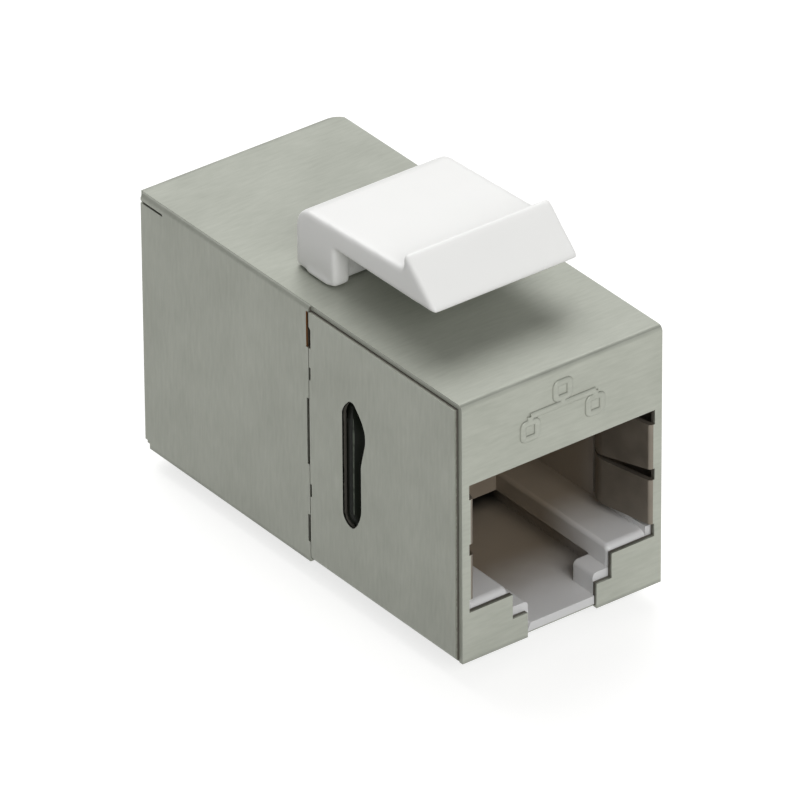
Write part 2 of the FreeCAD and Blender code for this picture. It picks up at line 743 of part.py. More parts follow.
def fixed_lug(body):
    """Lug that reaches down through the bottom sheet and hooks behind the panel's lower edge."""
    lug_end = "lug_start + lug_length"
    lug = box_loop("-lug_width / 2", "lug_width / 2", "lug_start", lug_end)
    pad(body, outline(body, "XY_Plane", "-lug_drop", lug), "lug_drop + housing_inset")
    fillet(body, straight_edges(body, "x", [(lug_end, "-lug_drop")]), "lug_round")


def contact_carrier(label, rear):
    """Black moulding that the contacts wrap round, with snap arms down both sides of its housing."""
    body = new_body(label, rear)
    profile = [
        ("carrier_end", "carrier_level"),
        ("nose_start", "carrier_level"),
        ("nose_start", "nose_top"),
        ("carrier_start", "nose_top"),
        ("carrier_start", "carrier_top"),
        ("carrier_end", "carrier_top"),
    ]
    pad(body, outline(body, "YZ_Plane", "0", profile), "2 * carrier_half", symmetric=True)
    nose_edges = [("nose_start", "carrier_level"), ("nose_start", "nose_top")]
    fillet(body, straight_edges(body, "x", nose_edges), "nose_round")
    tunnel = contact_groove("nose_top", "run_level + groove_thick")
    tunnel_sketch = outline(body, "XZ_Plane", "carrier_start", tunnel)
    row_of_contacts(body, pocket(body, tunnel_sketch, "carrier_end - carrier_start"))

    arm = box_loop("snap_depth - arm_half", "snap_depth + arm_half", "arm_foot", "carrier_top")
    grown = [pad(body, outline(body, "YZ_Plane", "carrier_half", arm), "arm_gauge")]
    if not rear:
        grown.append(pad(body, bottle(body, "housing_half", "snap_gap"), "housing_inset"))
    mirror(body, grown)
    if not rear:
        chamfer(body, rim_edges(body, ["half_width", "-half_width"]), "boss_chamfer")
    return body


def spring_contact(label, number, tail_height, tail_end, rear):
    """Flat gold-plated spring: tail in the board, run over the carrier, loop, and fall into the cavity."""
    body = new_body(label, rear)
    across = "contact_pitch * %s" % (number - FIRST_CONTACT)
    route = [(tail_end, tail_height)]
    bends = []
    if tail_height != "run_level":
        route.append(("carrier_end + tail_lead + tail_joggle", tail_height))
        route.append(("carrier_end + tail_lead", "run_level"))
        bends += ["contact_bend", "contact_bend"]
    route += [("apex_depth", "run_level"), ("dip_depth", "dip_level")]
    route.append(("tip_depth", "dip_level + tip_lift"))
    bends += ["loop_radius", "contact_bend"]
    path = sketch_on(body, "YZ_Plane", across)
    first = add_loop(path, route, closed=False)
    round_corners(path, first, bends)
    left = across + " - contact_width / 2"
    right = across + " + contact_width / 2"
    low = tail_height + " - contact_gauge / 2"
    high = tail_height + " + contact_gauge / 2"
    profile = outline(body, "XZ_Plane", tail_end, box_loop(left, right, low, high))
    doc.recompute()
    strip = body.newObject("PartDesign::AdditivePipe", label + "_strip")
    strip.Profile = profile
    strip.Spine = path
    doc.recompute()
    return body


def circuit_board():
    """Board that stands between the sockets; its ears reach the seam and its holes take the tails."""
    body = new_body("circuit_board")
    waist = "inner_half - board_margin"
    shape = [
        (waist, "housing_inset"),
        (waist, "board_ear_foot"),
        ("housing_half", "board_ear_foot"),
        ("housing_half", "carrier_top"),
    ]
    plate = outline(body, "XZ_Plane", "board_front", mirrored_loop(shape))
    pad(body, plate, "board_thickness", reverse=True)
    for level in ("tail_level", "run_level"):
        hole = contact_groove(level + " - groove_thick", level + " + groove_thick")
        hole_sketch = outline(body, "XZ_Plane", "board_front", hole)
        row_of_contacts(body, pocket(body, hole_sketch, "board_thickness"))
    return body


def latch():
    """White moulding: wedge-tipped arm on a two-legged foot, with a round heel inside the box."""
    body = new_body("latch")
    wedge_top = "wedge_foot + wedge_height"
    tip_top = "tip_under + nose_gauge"
    profile = [
        ("latch_front", "foot_level"),
        ("latch_front", "arm_under"),
        ("latch_tip", "tip_under"),
        ("latch_tip", tip_top),
        ("wedge_rear", wedge_top),
        ("wedge_rear", "wedge_foot"),
        ("latch_rear", "arm_top"),
        ("latch_rear", "foot_level"),
    ]
    pad(body, outline(body, "YZ_Plane", "0", profile), "latch_width", symmetric=True)
    fillet(body, straight_edges(body, "x", [("latch_rear", "arm_top")]), "heel_round")
    fillet(body, straight_edges(body, "x", [("latch_front", "foot_level")]), "foot_round")
    wedge_edges = [("wedge_rear", wedge_top), ("wedge_rear", "wedge_foot")]
    fillet(body, straight_edges(body, "x", wedge_edges), "wedge_round")
    tip_edges = [("latch_tip", "tip_under"), ("latch_tip", tip_top)]
    fillet(body, straight_edges(body, "x", tip_edges), "tip_round")
    fillet(body, rim_edges(body, ["latch_width / 2", "-latch_width / 2"]), "side_round")

    recess_half = "latch_width / 2 - latch_leg_width"
    web = "latch_front + latch_web_setback"
    recess = box_loop("-(%s)" % recess_half, recess_half, "latch_front", web)
    pocket(body, outline(body, "XY_Plane", "arm_under", recess), "arm_lift")
    ledge_start = "latch_front + ledge_inset"
    ledge_top = "foot_level + ledge_height"
    ledge = box_loop(ledge_start, ledge_start + " + ledge_length", "foot_level", ledge_top)
    ledge_sketch = outline(body, "YZ_Plane", "latch_width / 2 - ledge_reach", ledge)
    mirror(body, [pad(body, ledge_sketch, "2 * ledge_reach")])

    neck_front = "heel_depth - neck_gauge / 2"
    neck_rear = "heel_depth + neck_gauge / 2"
    neck = outline(body, "YZ_Plane", "0", box_loop(neck_front, neck_rear, "heel_level", "arm_under"))
    pad(body, neck, "heel_width", symmetric=True)
    heel = disc(body, "YZ_Plane", "0", "heel_depth", "heel_level", "heel_radius")
    pad(body, heel, "heel_width", symmetric=True)
    return body


def build():
    pieces = [upper_shield(), lower_shield(), latch(), circuit_board()]
    front_end = "board_front - housing_clearance"
    rear_end = "shell_length - board_rear - housing_clearance"
    pieces.append(socket_housing("front_socket_housing", front_end, False))
    pieces.append(socket_housing("rear_socket_housing", rear_end, True))
    pieces.append(contact_carrier("front_contact_carrier", False))
    pieces.append(contact_carrier("rear_contact_carrier", True))
    front_tail = "board_rear + tail_reach"
    rear_tail = "shell_length - board_front + tail_reach"
    for number in range(CONTACTS):
        name = "front_contact_%d" % (number + 1)
        pieces.append(spring_contact(name, number, "tail_level", front_tail, False))
    for number in range(CONTACTS):
        name = "rear_contact_%d" % (number + 1)
        pieces.append(spring_contact(name, number, "run_level", rear_tail, True))
    return pieces


def write(pieces):
    """Refuse anything that failed, then write each piece to its own file."""
    doc.recompute()
    for item in doc.Objects:
        if "Invalid" in item.State or "Error" in item.State:
            raise RuntimeError("%s failed: %s" % (item.Label, item.State))
    for piece in pieces:
        shape = piece.Shape
        if shape.isNull() or not shape.isValid() or len(shape.Solids) != 1:
            raise RuntimeError("%s is not one valid solid" % piece.Label)
    os.makedirs("parts", exist_ok=True)
    for piece in pieces:
        piece.Shape.exportStep("parts/%s.step" % piece.Label)
        print("%-24s %9.3f mm3" % (piece.Label, piece.Shape.Volume))


write(build())
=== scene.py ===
import math

import bmesh
import bpy
from mathutils import Matrix, Vector


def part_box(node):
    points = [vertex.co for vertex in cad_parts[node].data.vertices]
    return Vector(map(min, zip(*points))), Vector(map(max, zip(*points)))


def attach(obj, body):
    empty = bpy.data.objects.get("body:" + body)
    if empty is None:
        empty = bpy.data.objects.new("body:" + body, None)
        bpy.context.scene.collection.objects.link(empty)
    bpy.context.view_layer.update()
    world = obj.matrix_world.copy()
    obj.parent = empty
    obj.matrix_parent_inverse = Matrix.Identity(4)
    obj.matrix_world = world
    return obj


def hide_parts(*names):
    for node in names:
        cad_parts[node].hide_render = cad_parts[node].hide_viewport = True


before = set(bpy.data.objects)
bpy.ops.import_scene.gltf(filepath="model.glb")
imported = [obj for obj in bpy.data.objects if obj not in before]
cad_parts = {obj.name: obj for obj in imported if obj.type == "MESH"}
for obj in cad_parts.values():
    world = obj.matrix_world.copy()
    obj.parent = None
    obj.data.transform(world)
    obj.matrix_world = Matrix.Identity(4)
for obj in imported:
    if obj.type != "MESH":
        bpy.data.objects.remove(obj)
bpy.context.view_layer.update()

bl_info = {
    "name": "Keystone jack looks",
    "version": (1, 0, 0),
    "blender": (4, 5, 0),
    "location": "View3D > Sidebar > Keystone Jack",
    "description": "Dresses the packed keystone jack in its real finishes and sets up the studio",
    "category": "Object",
}

MM = 0.001
BODY = "jack"
ROWS = ("front", "rear")
CONTACTS = ["%s_contact_%d" % (row, number) for row in ROWS for number in range(1, 9)]

# Down to the welding distance, places and lengths are in millimetres
# Outside of the folded shield, end of its lower sheet, the sheet's thickness, and slack in tests of place
SHELL_LOW, SHELL_HIGH = (tuple(v / MM for v in corner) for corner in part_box("upper_shield"))
LOWER_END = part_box("lower_shield")[1][1] / MM
SHEET_GAUGE = 0.3
FLAT = 0.02
# Bends at the roots of the spring leaves: how far out and how near the ends they lie, and how much of
# their direction points inwards
LEAF_ROOT = 5.0
BEND_END = SHELL_HIGH[1] - 2 * SHEET_GAUGE
BEND_TURN = 0.05
# Room round the torn edge at the upper mouth of the seam, and how squarely that edge looks forward
MOUTH_LOW = (SHELL_LOW[0] - FLAT, -1.1, 14.7)
MOUTH_HIGH = (SHELL_LOW[0] + SHEET_GAUGE, -0.8, 17.0)
MOUTH_FACING = 0.9

# Latch stops of the housings: from which distance along, between which sides, and how high they lie
STOP_END = 12.2
STOP_SIDES = (2.3, 3.7)
STOP_TOP = (2.4, 2.8)
STOP_FOOT = 1.9
STOP_INNER = 2.7
# Half width and top of the channel's sill, and place of the leaf windows' upper rim
SILL_SIDE = 2.3
SILL_TOP = 2.0
WINDOW_END = 9.4
WINDOW_SIDE = 5.9
WINDOW_TOP = 11.65
# Snap slots: middle, top, room under the foot and reach to each side
SLOT_MIDDLE = -4.88
SLOT_HEAD = 13.2
SLOT_LOW = 4.5
SLOT_REACH = 1.3
# Half width and lower end of the head's taper at the rear and the front, how blunt the head is, the least
# length of a flank that is cut, and the number of cuts
SLOT_REAR = (0.825, 12.2)
SLOT_FRONT = (1.225, 11.6)
SLOT_BLUNT = 1.45
FLANK_LEAST = 0.2
FLANK_CUTS = 8
# Height under which a slot's foot rises towards the front, by how much, and how steeply
SLOT_FOOT = 6.05
SLOT_FOOT_RISE = 0.7
SLOT_FOOT_CURVE = 1.5

# Coarseness of the finishes' patterns: rolling lines and clouds of the sheet, dull patches on its edges,
# tears of a sheared edge, stains of the inner sheet
GRAIN, CLOUD, DULL_PATCH, TEAR, STAIN = 0.2, 3.0, 2.5, 0.3, 1.2
# Grit and flow of the white mouldings, noise that breaks the housings' painted shade, sink marks and haze of
# the black mouldings, drawing lines of the contacts, glass layers of the board. Rolling lines, grit and
# drawing lines are coarser than real ones, so that they show
GRIT, FLOW, SHADE_NOISE, SINK, HAZE, DRAWN_LINE, GLASS_LAYER = 0.12, 3.5, 2.5, 1.6, 0.35, 0.06, 0.8
# Width of a rolling line as a share of its length, and how much lines and clouds each tint the sheet
GRAIN_STRETCH = 0.15
GRAIN_SHARE = 0.4
CLOUD_SHARE = 0.3
# Cosine past which a face counts as a side or an end; painted shade of the roof, the ends and the sides
ON_FACE = 0.7
ROOF_SHADE, END_SHADE, SIDE_SHADE = 0.85, 1.1, 0.95
# Painted shade in the housings: where the brown dusk and the black at the tunnel's end start and are full,
# from the end inwards, how strong they are, and how unevenly noise draws their limits
DUSK = (0.2, 6.0, 0.9)
TUNNEL = (9.6, 11.2, 0.95)
SHADE_NOISE_SHIFT = 1.2
# Depth under the box's side down to which a grey highlight is painted on a boss's crest
HIGHLIGHT_DEPTH = 0.0015

# Welding distance in metres, how flat counts as one face, and how sharp counts as an edge
WELD = 0.0005 * MM
COPLANAR = math.radians(0.2)
SHARP = math.radians(30)
# Edges within this cosine run on from each other; others leave this share of their length for rounding,
# which has this many segments
CONTINUES = 0.85
ROOM_SHARE = 0.4
EASE_SEGMENTS = 4
# Share of a softened net's faces that are kept
NET_KEPT = 0.25

# Places and sizes of the lamps and place of the camera, in metres
SOFTBOX_PLACE, SOFTBOX_SIZE = (0.25, 0.55, 0.9), 0.9
FRONT_PLACE, FRONT_SIZE = (-0.2, -1.0, 0.6), 0.7
CAMERA_PLACE = (-0.3166, -0.41875, 0.3298)
CAMERA_CLIP = (0.01, 20.0)
# Azimuth, downward tilt and roll of the camera in degrees, and its sensor in millimetres
CAMERA_TURN = (37.09, 31.48, -0.41)
CAMERA_SENSOR = 36.0


def linear(code):
    """Linear colour of an sRGB hex code, with full alpha."""
    values = [int(code[place:place + 2], 16) / 255 for place in (0, 2, 4)]
    return tuple(v / 12.92 if v <= 0.04045 else ((v + 0.055) / 1.055) ** 2.4 for v in values) + (1.0,)


def add(tree, kind, inputs=(), **settings):
    """Add one node: settings are its fields, inputs are values or sockets to link, by name or number."""
    node = tree.nodes.new(kind)
    for field, setting in settings.items():
        setattr(node, field, setting)
    for key, given in dict(inputs).items():
        if isinstance(given, bpy.types.NodeSocket):
            tree.links.new(given, node.inputs[key])
        else:
            node.inputs[key].default_value = given
    return node


def length(name, description, millimetres):
    """A length property with its default given in millimetres."""
    return bpy.props.FloatProperty(name=name, description=description, default=millimetres * MM,
                                   min=0.0, unit="LENGTH", subtype="DISTANCE", precision=5)


def colour(name, description, code):
    """A colour property with its default given as an sRGB hex code."""
    return bpy.props.FloatVectorProperty(name=name, description=description, default=linear(code),
                                         size=4, min=0.0, max=1.0, subtype="COLOR")


class JackFinishes(bpy.types.PropertyGroup):
    """Colours of the jack's finishes."""
    sheet_light: colour("Plated sheet, light", "Bright part of the satin plating", "B8BBB0")
    sheet_dark: colour("Plated sheet, dark", "Dull part of the satin plating", "A4A79C")
    sheet_worn: colour("Plated sheet, worn", "Plating dulled along the box's edges", "8F9288")
    cut_edge: colour("Cut edge", "Bare sheared edge of the sheet, dull and dark", "75726A")
    leaf_inside: colour("Inner sheet", "Unpolished inner side of the sheet and its leaves", "857D72")
    copper_flash: colour("Copper flash", "Copper under the plating, bare at the seam's mouth", "A4703F")
    latch_white: colour("Latch", "White moulding of the latch", "F7F7F5")
    housing_white: colour("Socket housings", "White moulding of the housings", "E4E4E4")
    # painted shade: brown painted into the housings far from the port
    housing_painted_shade: colour("Housings, deep inside", "Dingy brown of the housings far from the port", "7B6C57")
    # painted shade: black painted at the end of the tab's tunnel
    tunnel_painted_shade: colour("Housings, tunnel", "Black at the end of the tab's tunnel", "0C0C09")
    black_plastic: colour("Contact carriers", "Black moulding of the carriers", "0E120B")
    # painted highlight: a grey line painted on each boss's crest
    boss_painted_highlight: colour("Rubbed crest", "Crest of a snap boss where it has been rubbed", "646A60")
    contact_gold: colour("Contact plating", "Gold on the spring contacts", "D8B05A")
    board_resin: colour("Board resin", "Sawn edge of the circuit board", "B06F2A")
    board_glass: colour("Board glass", "Glass layers in the board's sawn edge", "7A4717")
    backdrop: colour("Backdrop", "Surroundings and the floor as it is seen", "FFFFFF")
    floor_paper: colour("Floor paper", "Light that the floor throws back up", "B4B4B2")


class JackSizes(bpy.types.PropertyGroup):
    """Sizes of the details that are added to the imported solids."""
    sign_width: length("Sign width", "Between the middles of the sign's lower boxes", 4.4)
    sign_height: length("Sign height", "Between the middles of the sign's upper and lower boxes", 1.75)
    sign_box: length("Sign box", "Side of each of the sign's boxes", 0.95)
    sign_middle: length("Sign middle", "Height of the sign's middle over the ground", 15.1)
    sign_stroke: length("Sign stroke", "Width of the sign's raised lines", 0.42)
    sign_relief: length("Sign relief", "How far the sign stands out of the sheet", 0.11)
    sign_corner: length("Sign corner", "Radius of the sign's corners", 0.18)
    sheared_lip: length("Sheared lip", "Bright rolled part of a sheared edge, next to the outer side", 0.12)
    latch_grid: length("Latch grid", "Spacing of the net that the latch's edges are softened on", 0.1)
    moulding_ease: length("Moulding edge", "Rounding of the other mouldings' edges", 0.08)
    stop_raise: length("Stop rise", "How far the latch stops stand over the port's lower step", 0.5)
    stop_shift: length("Stop shift", "How far one latch stop stands in over the channel", 0.28)
    sill_reach: length("Sill reach", "How far the channel's sill stands out of the housing", 0.2)
    sill_drop: length("Sill drop", "How far the sill hangs over the bottom sheet's end", 0.12)
    window_raise: length("Window rise", "How far the leaf windows open towards the lintel", 0.4)
    boss_dome: length("Boss dome", "How far a snap boss's crest stands over its rim", 0.16)
    wear_width: length("Wear width", "How far the dulled plating reaches from an edge", 0.3)
    floor_size: length("Floor size", "Side of the square floor", 4000.0)
    latch_softness: bpy.props.IntProperty(name="Latch softness", default=30, min=0, max=200,
                                          description="Smoothing steps that round the latch's edges")


class JackLights(bpy.types.PropertyGroup):
    """Strengths of the studio lights, and the lens."""
    softbox_power: bpy.props.FloatProperty(name="Softbox", description="Power of the wide light overhead",
                                           default=8.2, min=0.0, unit="POWER")
    front_power: bpy.props.FloatProperty(name="Front light", description="Power of the soft light in front",
                                         default=7.0, min=0.0, unit="POWER")
    ambient: bpy.props.FloatProperty(name="Ambient", description="Strength of the light from all round",
                                     default=0.27, min=0.0)
    floor_glow: bpy.props.FloatProperty(name="Floor glow", default=0.72, min=0.0,
                                        description="How far the seen floor is lifted to white")
    lens: bpy.props.FloatProperty(name="Lens", description="Focal length in millimetres",
                                  default=508.5, min=1.0, unit="CAMERA")


def material(name):
    """An empty node material with its output and its shader."""
    made = bpy.data.materials.new(name)
    made.use_nodes = True
    tree = made.node_tree
    tree.nodes.clear()
    output = add(tree, "ShaderNodeOutputMaterial")
    shader = add(tree, "ShaderNodeBsdfPrincipled")
    tree.links.new(shader.outputs["BSDF"], output.inputs["Surface"])
    return made, tree, shader


def per_mm(millimetres):
    """Texture scale that gives a pattern about this coarse on coordinates in metres."""
    return 1 / (millimetres * MM)


def link_finish(tree, shader, tint=None, dull=None, bump=None):
    """Join a colour, a roughness and a bump to the shader."""
    for socket, name in ((tint, "Base Color"), (dull, "Roughness"), (bump, "Normal")):
        if socket is not None:
            tree.links.new(socket, shader.inputs[name])


def box_distances(tree, place):
    """How far a point lies under the box's surface, and along that surface from the box's nearest edge."""
    middle = Vector([(low + high) / 2 for low, high in zip(SHELL_LOW, SHELL_HIGH)]) * MM
    half = Vector([(high - low) / 2 for low, high in zip(SHELL_LOW, SHELL_HIGH)]) * MM
    offset = add(tree, "ShaderNodeVectorMath", {0: place, 1: middle}, operation="SUBTRACT")
    offset = add(tree, "ShaderNodeVectorMath", {0: offset.outputs[0]}, operation="ABSOLUTE")
    inward = add(tree, "ShaderNodeVectorMath", {0: half, 1: offset.outputs[0]}, operation="SUBTRACT")
    x, y, z = add(tree, "ShaderNodeSeparateXYZ", {0: inward.outputs[0]}).outputs
    lesser = add(tree, "ShaderNodeMath", {0: x, 1: y}, operation="MINIMUM").outputs[0]
    greater = add(tree, "ShaderNodeMath", {0: x, 1: y}, operation="MAXIMUM").outputs[0]
    depth = add(tree, "ShaderNodeMath", {0: lesser, 1: z}, operation="MINIMUM").outputs[0]
    # the middle one of the three distances
    greater = add(tree, "ShaderNodeMath", {0: greater, 1: z}, operation="MINIMUM").outputs[0]
    along = add(tree, "ShaderNodeMath", {0: lesser, 1: greater}, operation="MAXIMUM").outputs[0]
    return depth, along


def plated_sheet(finishes, sizes):
    """Nickel-plated steel sheet, rolled and satin plated: fine lines, faint clouds, dulled edges, painted
    shade by facing.
    """
    made, tree, shader = material("nickel_plated_steel_satin")
    place = add(tree, "ShaderNodeTexCoord").outputs["Object"]
    facing = add(tree, "ShaderNodeNewGeometry").outputs["Normal"]
    # the rolling lines stand upright on the sides and run across on the roof and the ends
    upright = add(tree, "ShaderNodeMapping", {"Vector": place, "Scale": (1.0, 1.0, GRAIN_STRETCH)})
    across = add(tree, "ShaderNodeMapping", {"Vector": place, "Scale": (GRAIN_STRETCH, 1.0, 1.0)})
    facing = add(tree, "ShaderNodeVectorMath", {0: facing}, operation="ABSOLUTE").outputs[0]
    sideways, endways, _ = add(tree, "ShaderNodeSeparateXYZ", {"Vector": facing}).outputs
    on_side, on_end = (
        add(tree, "ShaderNodeMath", {0: turned, 1: ON_FACE}, operation="GREATER_THAN").outputs[0]
        for turned in (sideways, endways))
    grain_place = add(tree, "ShaderNodeMix", {0: on_side, 4: across.outputs[0], 5: upright.outputs[0]},
                      data_type="VECTOR").outputs[1]
    grain = add(tree, "ShaderNodeTexNoise", {"Vector": grain_place, "Scale": per_mm(GRAIN), "Detail": 3.0,
                                             "Roughness": 0.6}).outputs["Fac"]
    cloud = add(tree, "ShaderNodeTexNoise", {"Vector": place, "Scale": per_mm(CLOUD),
                                             "Detail": 3.0}).outputs["Fac"]
    # what the lines and clouds leave over keeps the mean half way between the two tints
    mixed = (1 - GRAIN_SHARE - CLOUD_SHARE) / 2
    for pattern, share in ((grain, GRAIN_SHARE), (cloud, CLOUD_SHARE)):
        mixed = add(tree, "ShaderNodeMath", {0: pattern, 1: share, 2: mixed},
                    operation="MULTIPLY_ADD").outputs[0]
    tint = add(tree, "ShaderNodeValToRGB", {"Fac": mixed})
    for element, where, shade in zip(tint.color_ramp.elements, (0.3, 0.7),
                                     (finishes.sheet_dark, finishes.sheet_light)):
        element.position = where
        element.color = shade

    # handling dulls the edges in broken patches
    rubbed = add(tree, "ShaderNodeMapRange", {"Value": box_distances(tree, place)[1], "From Min": 0.0,
                                              "From Max": sizes.wear_width, "To Min": 1.0, "To Max": 0.0},
                 interpolation_type="SMOOTHSTEP").outputs["Result"]
    patches = add(tree, "ShaderNodeTexNoise", {"Vector": place, "Scale": per_mm(DULL_PATCH),
                                               "Detail": 4.0}).outputs["Fac"]
    patches = add(tree, "ShaderNodeMapRange", {"Value": patches, "From Min": 0.25,
                                               "From Max": 0.7}).outputs["Result"]
    rubbed = add(tree, "ShaderNodeMath", {0: rubbed, 1: patches}, operation="MULTIPLY").outputs[0]
    worn = add(tree, "ShaderNodeMix", {0: rubbed, 6: tint.outputs["Color"], 7: finishes.sheet_worn},
               data_type="RGBA").outputs[2]
    # painted shade: the roof is painted darker than the sides and the ends lighter, for how light falls on
    # them
    shade = add(tree, "ShaderNodeMapRange", {"Value": on_end, "To Min": ROOF_SHADE,
                                             "To Max": END_SHADE}).outputs["Result"]
    shade = add(tree, "ShaderNodeMath", {0: on_side, 1: SIDE_SHADE - ROOF_SHADE, 2: shade},
                operation="MULTIPLY_ADD").outputs[0]
    worn = add(tree, "ShaderNodeHueSaturation", {"Color": worn, "Value": shade}).outputs["Color"]
    dull = add(tree, "ShaderNodeMapRange", {"Value": mixed, "From Min": 0.3, "From Max": 0.7,
                                            "To Min": 0.52, "To Max": 0.44}).outputs["Result"]
    dull = add(tree, "ShaderNodeMath", {0: rubbed, 1: -0.08, 2: dull}, operation="MULTIPLY_ADD").outputs[0]
    bump = add(tree, "ShaderNodeBump", {"Height": grain, "Strength": 0.08, "Distance": 0.004 * MM})
    link_finish(tree, shader, worn, dull, bump.outputs["Normal"])
    shader.inputs["Metallic"].default_value = 0.3
    return made


def sheared_edge(name, lip, finishes, sizes):
    """Sheared edge of the steel sheet: a rolled lip at the outer side, then dark torn metal."""
    made, tree, shader = material(name)
    place = add(tree, "ShaderNodeTexCoord").outputs["Object"]
    tears = add(tree, "ShaderNodeTexNoise", {"Vector": place, "Scale": per_mm(TEAR),
                                             "Detail": 3.0}).outputs["Fac"]
    # the torn zone starts at an uneven depth
    ragged = add(tree, "ShaderNodeMath", {0: tears, 1: sizes.sheared_lip, 2: box_distances(tree, place)[0]},
                 operation="MULTIPLY_ADD").outputs[0]
    torn = add(tree, "ShaderNodeMapRange", {"Value": ragged, "From Min": 1.2 * sizes.sheared_lip,
                                            "From Max": 1.6 * sizes.sheared_lip}).outputs["Result"]
    tint = add(tree, "ShaderNodeMix", {0: torn, 6: lip, 7: finishes.cut_edge},
               data_type="RGBA").outputs[2]
    dull = add(tree, "ShaderNodeMapRange", {"Value": torn, "To Min": 0.45, "To Max": 0.7})
    bump = add(tree, "ShaderNodeBump", {"Height": tears, "Strength": 0.4, "Distance": 0.01 * MM})
    link_finish(tree, shader, tint, dull.outputs["Result"], bump.outputs["Normal"])
    shader.inputs["Metallic"].default_value = 0.6
    return made


def inner_sheet(finishes):
    """Inner side of the steel sheet, thinly plated: brownish grey, duller than the outside."""
    made, tree, shader = material("steel_thinly_plated_inner")
    place = add(tree, "ShaderNodeTexCoord").outputs["Object"]
    stain = add(tree, "ShaderNodeTexNoise", {"Vector": place, "Scale": per_mm(STAIN),
                                             "Detail": 4.0}).outputs["Fac"]
    tint = add(tree, "ShaderNodeHueSaturation", {"Color": finishes.leaf_inside})
    shade = add(tree, "ShaderNodeMapRange", {"Value": stain, "To Min": 0.75, "To Max": 1.2})
    tree.links.new(shade.outputs["Result"], tint.inputs["Value"])
    dull = add(tree, "ShaderNodeMapRange", {"Value": stain, "To Min": 0.35, "To Max": 0.55})
    bump = add(tree, "ShaderNodeBump", {"Height": stain, "Strength": 0.1, "Distance": 0.01 * MM})
    link_finish(tree, shader, tint.outputs["Color"], dull.outputs["Result"], bump.outputs["Normal"])
    shader.inputs["Metallic"].default_value = 0.7
    return made


def white_moulding(name, white):
    """White plastic, moulded in a finely eroded tool: soft sheen, faint clouds, light carried inside."""
    made, tree, shader = material(name)
    place = add(tree, "ShaderNodeTexCoord").outputs["Object"]
    grit = add(tree, "ShaderNodeTexNoise", {"Vector": place, "Scale": per_mm(GRIT),
                                            "Detail": 2.0}).outputs["Fac"]
    flow = add(tree, "ShaderNodeTexNoise", {"Vector": place, "Scale": per_mm(FLOW),
                                            "Detail": 1.0}).outputs["Fac"]
    tint = add(tree, "ShaderNodeHueSaturation", {"Color": white})
    shade = add(tree, "ShaderNodeMapRange", {"Value": flow, "To Min": 0.97, "To Max": 1.0})
    tree.links.new(shade.outputs["Result"], tint.inputs["Value"])
    dull = add(tree, "ShaderNodeMapRange", {"Value": grit, "To Min": 0.34, "To Max": 0.5})
    bump = add(tree, "ShaderNodeBump", {"Height": grit, "Strength": 0.12, "Distance": 0.01 * MM})
    link_finish(tree, shader, tint.outputs["Color"], dull.outputs["Result"], bump.outputs["Normal"])
    shader.inputs["IOR"].default_value = 1.53
    shader.inputs["Subsurface Weight"].default_value = 0.15
    shader.inputs["Subsurface Radius"].default_value = (0.5, 0.5, 0.5)
    shader.inputs["Subsurface Scale"].default_value = MM
    return made, tree, shader


def housing_moulding(finishes):
    """White moulding with painted shade: a darker brown painted inside away from the port, black at the
    tunnel's end.
    """
    made, tree, shader = white_moulding("white_pbt_moulded_painted_shade_inside", finishes.housing_white)
    place = add(tree, "ShaderNodeTexCoord").outputs["Object"]
    along = add(tree, "ShaderNodeSeparateXYZ", {0: place}).outputs["Y"]
    along = add(tree, "ShaderNodeMath", {0: along}, operation="ABSOLUTE").outputs[0]
    # noise that makes the limits of the painted shade uneven
    shade_noise = add(tree, "ShaderNodeTexNoise", {"Vector": place, "Scale": per_mm(SHADE_NOISE),
                                            "Detail": 3.0}).outputs["Fac"]
    along = add(tree, "ShaderNodeMath", {0: shade_noise, 1: SHADE_NOISE_SHIFT * MM, 2: along},
                operation="MULTIPLY_ADD").outputs[0]
    # only inside the shield, so not on the lug under it
    inside = add(tree, "ShaderNodeMath", {0: box_distances(tree, place)[0], 1: 0.0},
                 operation="GREATER_THAN").outputs[0]
    tint = shader.inputs["Base Color"].links[0].from_socket
    end = SHELL_HIGH[1]
    # painted shade: darker brown away from the port, and black at the tunnel's end
    for shade, (near, far, most) in ((finishes.housing_painted_shade, DUSK), (finishes.tunnel_painted_shade, TUNNEL)):
        deep = add(tree, "ShaderNodeMapRange", {"Value": along, "From Min": (end - far) * MM,
                                                "From Max": (end - near) * MM,
                                                "To Min": most, "To Max": 0.0},
                   interpolation_type="SMOOTHSTEP").outputs["Result"]
        deep = add(tree, "ShaderNodeMath", {0: deep, 1: inside}, operation="MULTIPLY").outputs[0]
        tint = add(tree, "ShaderNodeMix", {0: deep, 6: tint, 7: shade}, data_type="RGBA").outputs[2]
    tree.links.new(tint, shader.inputs["Base Color"])
    return made


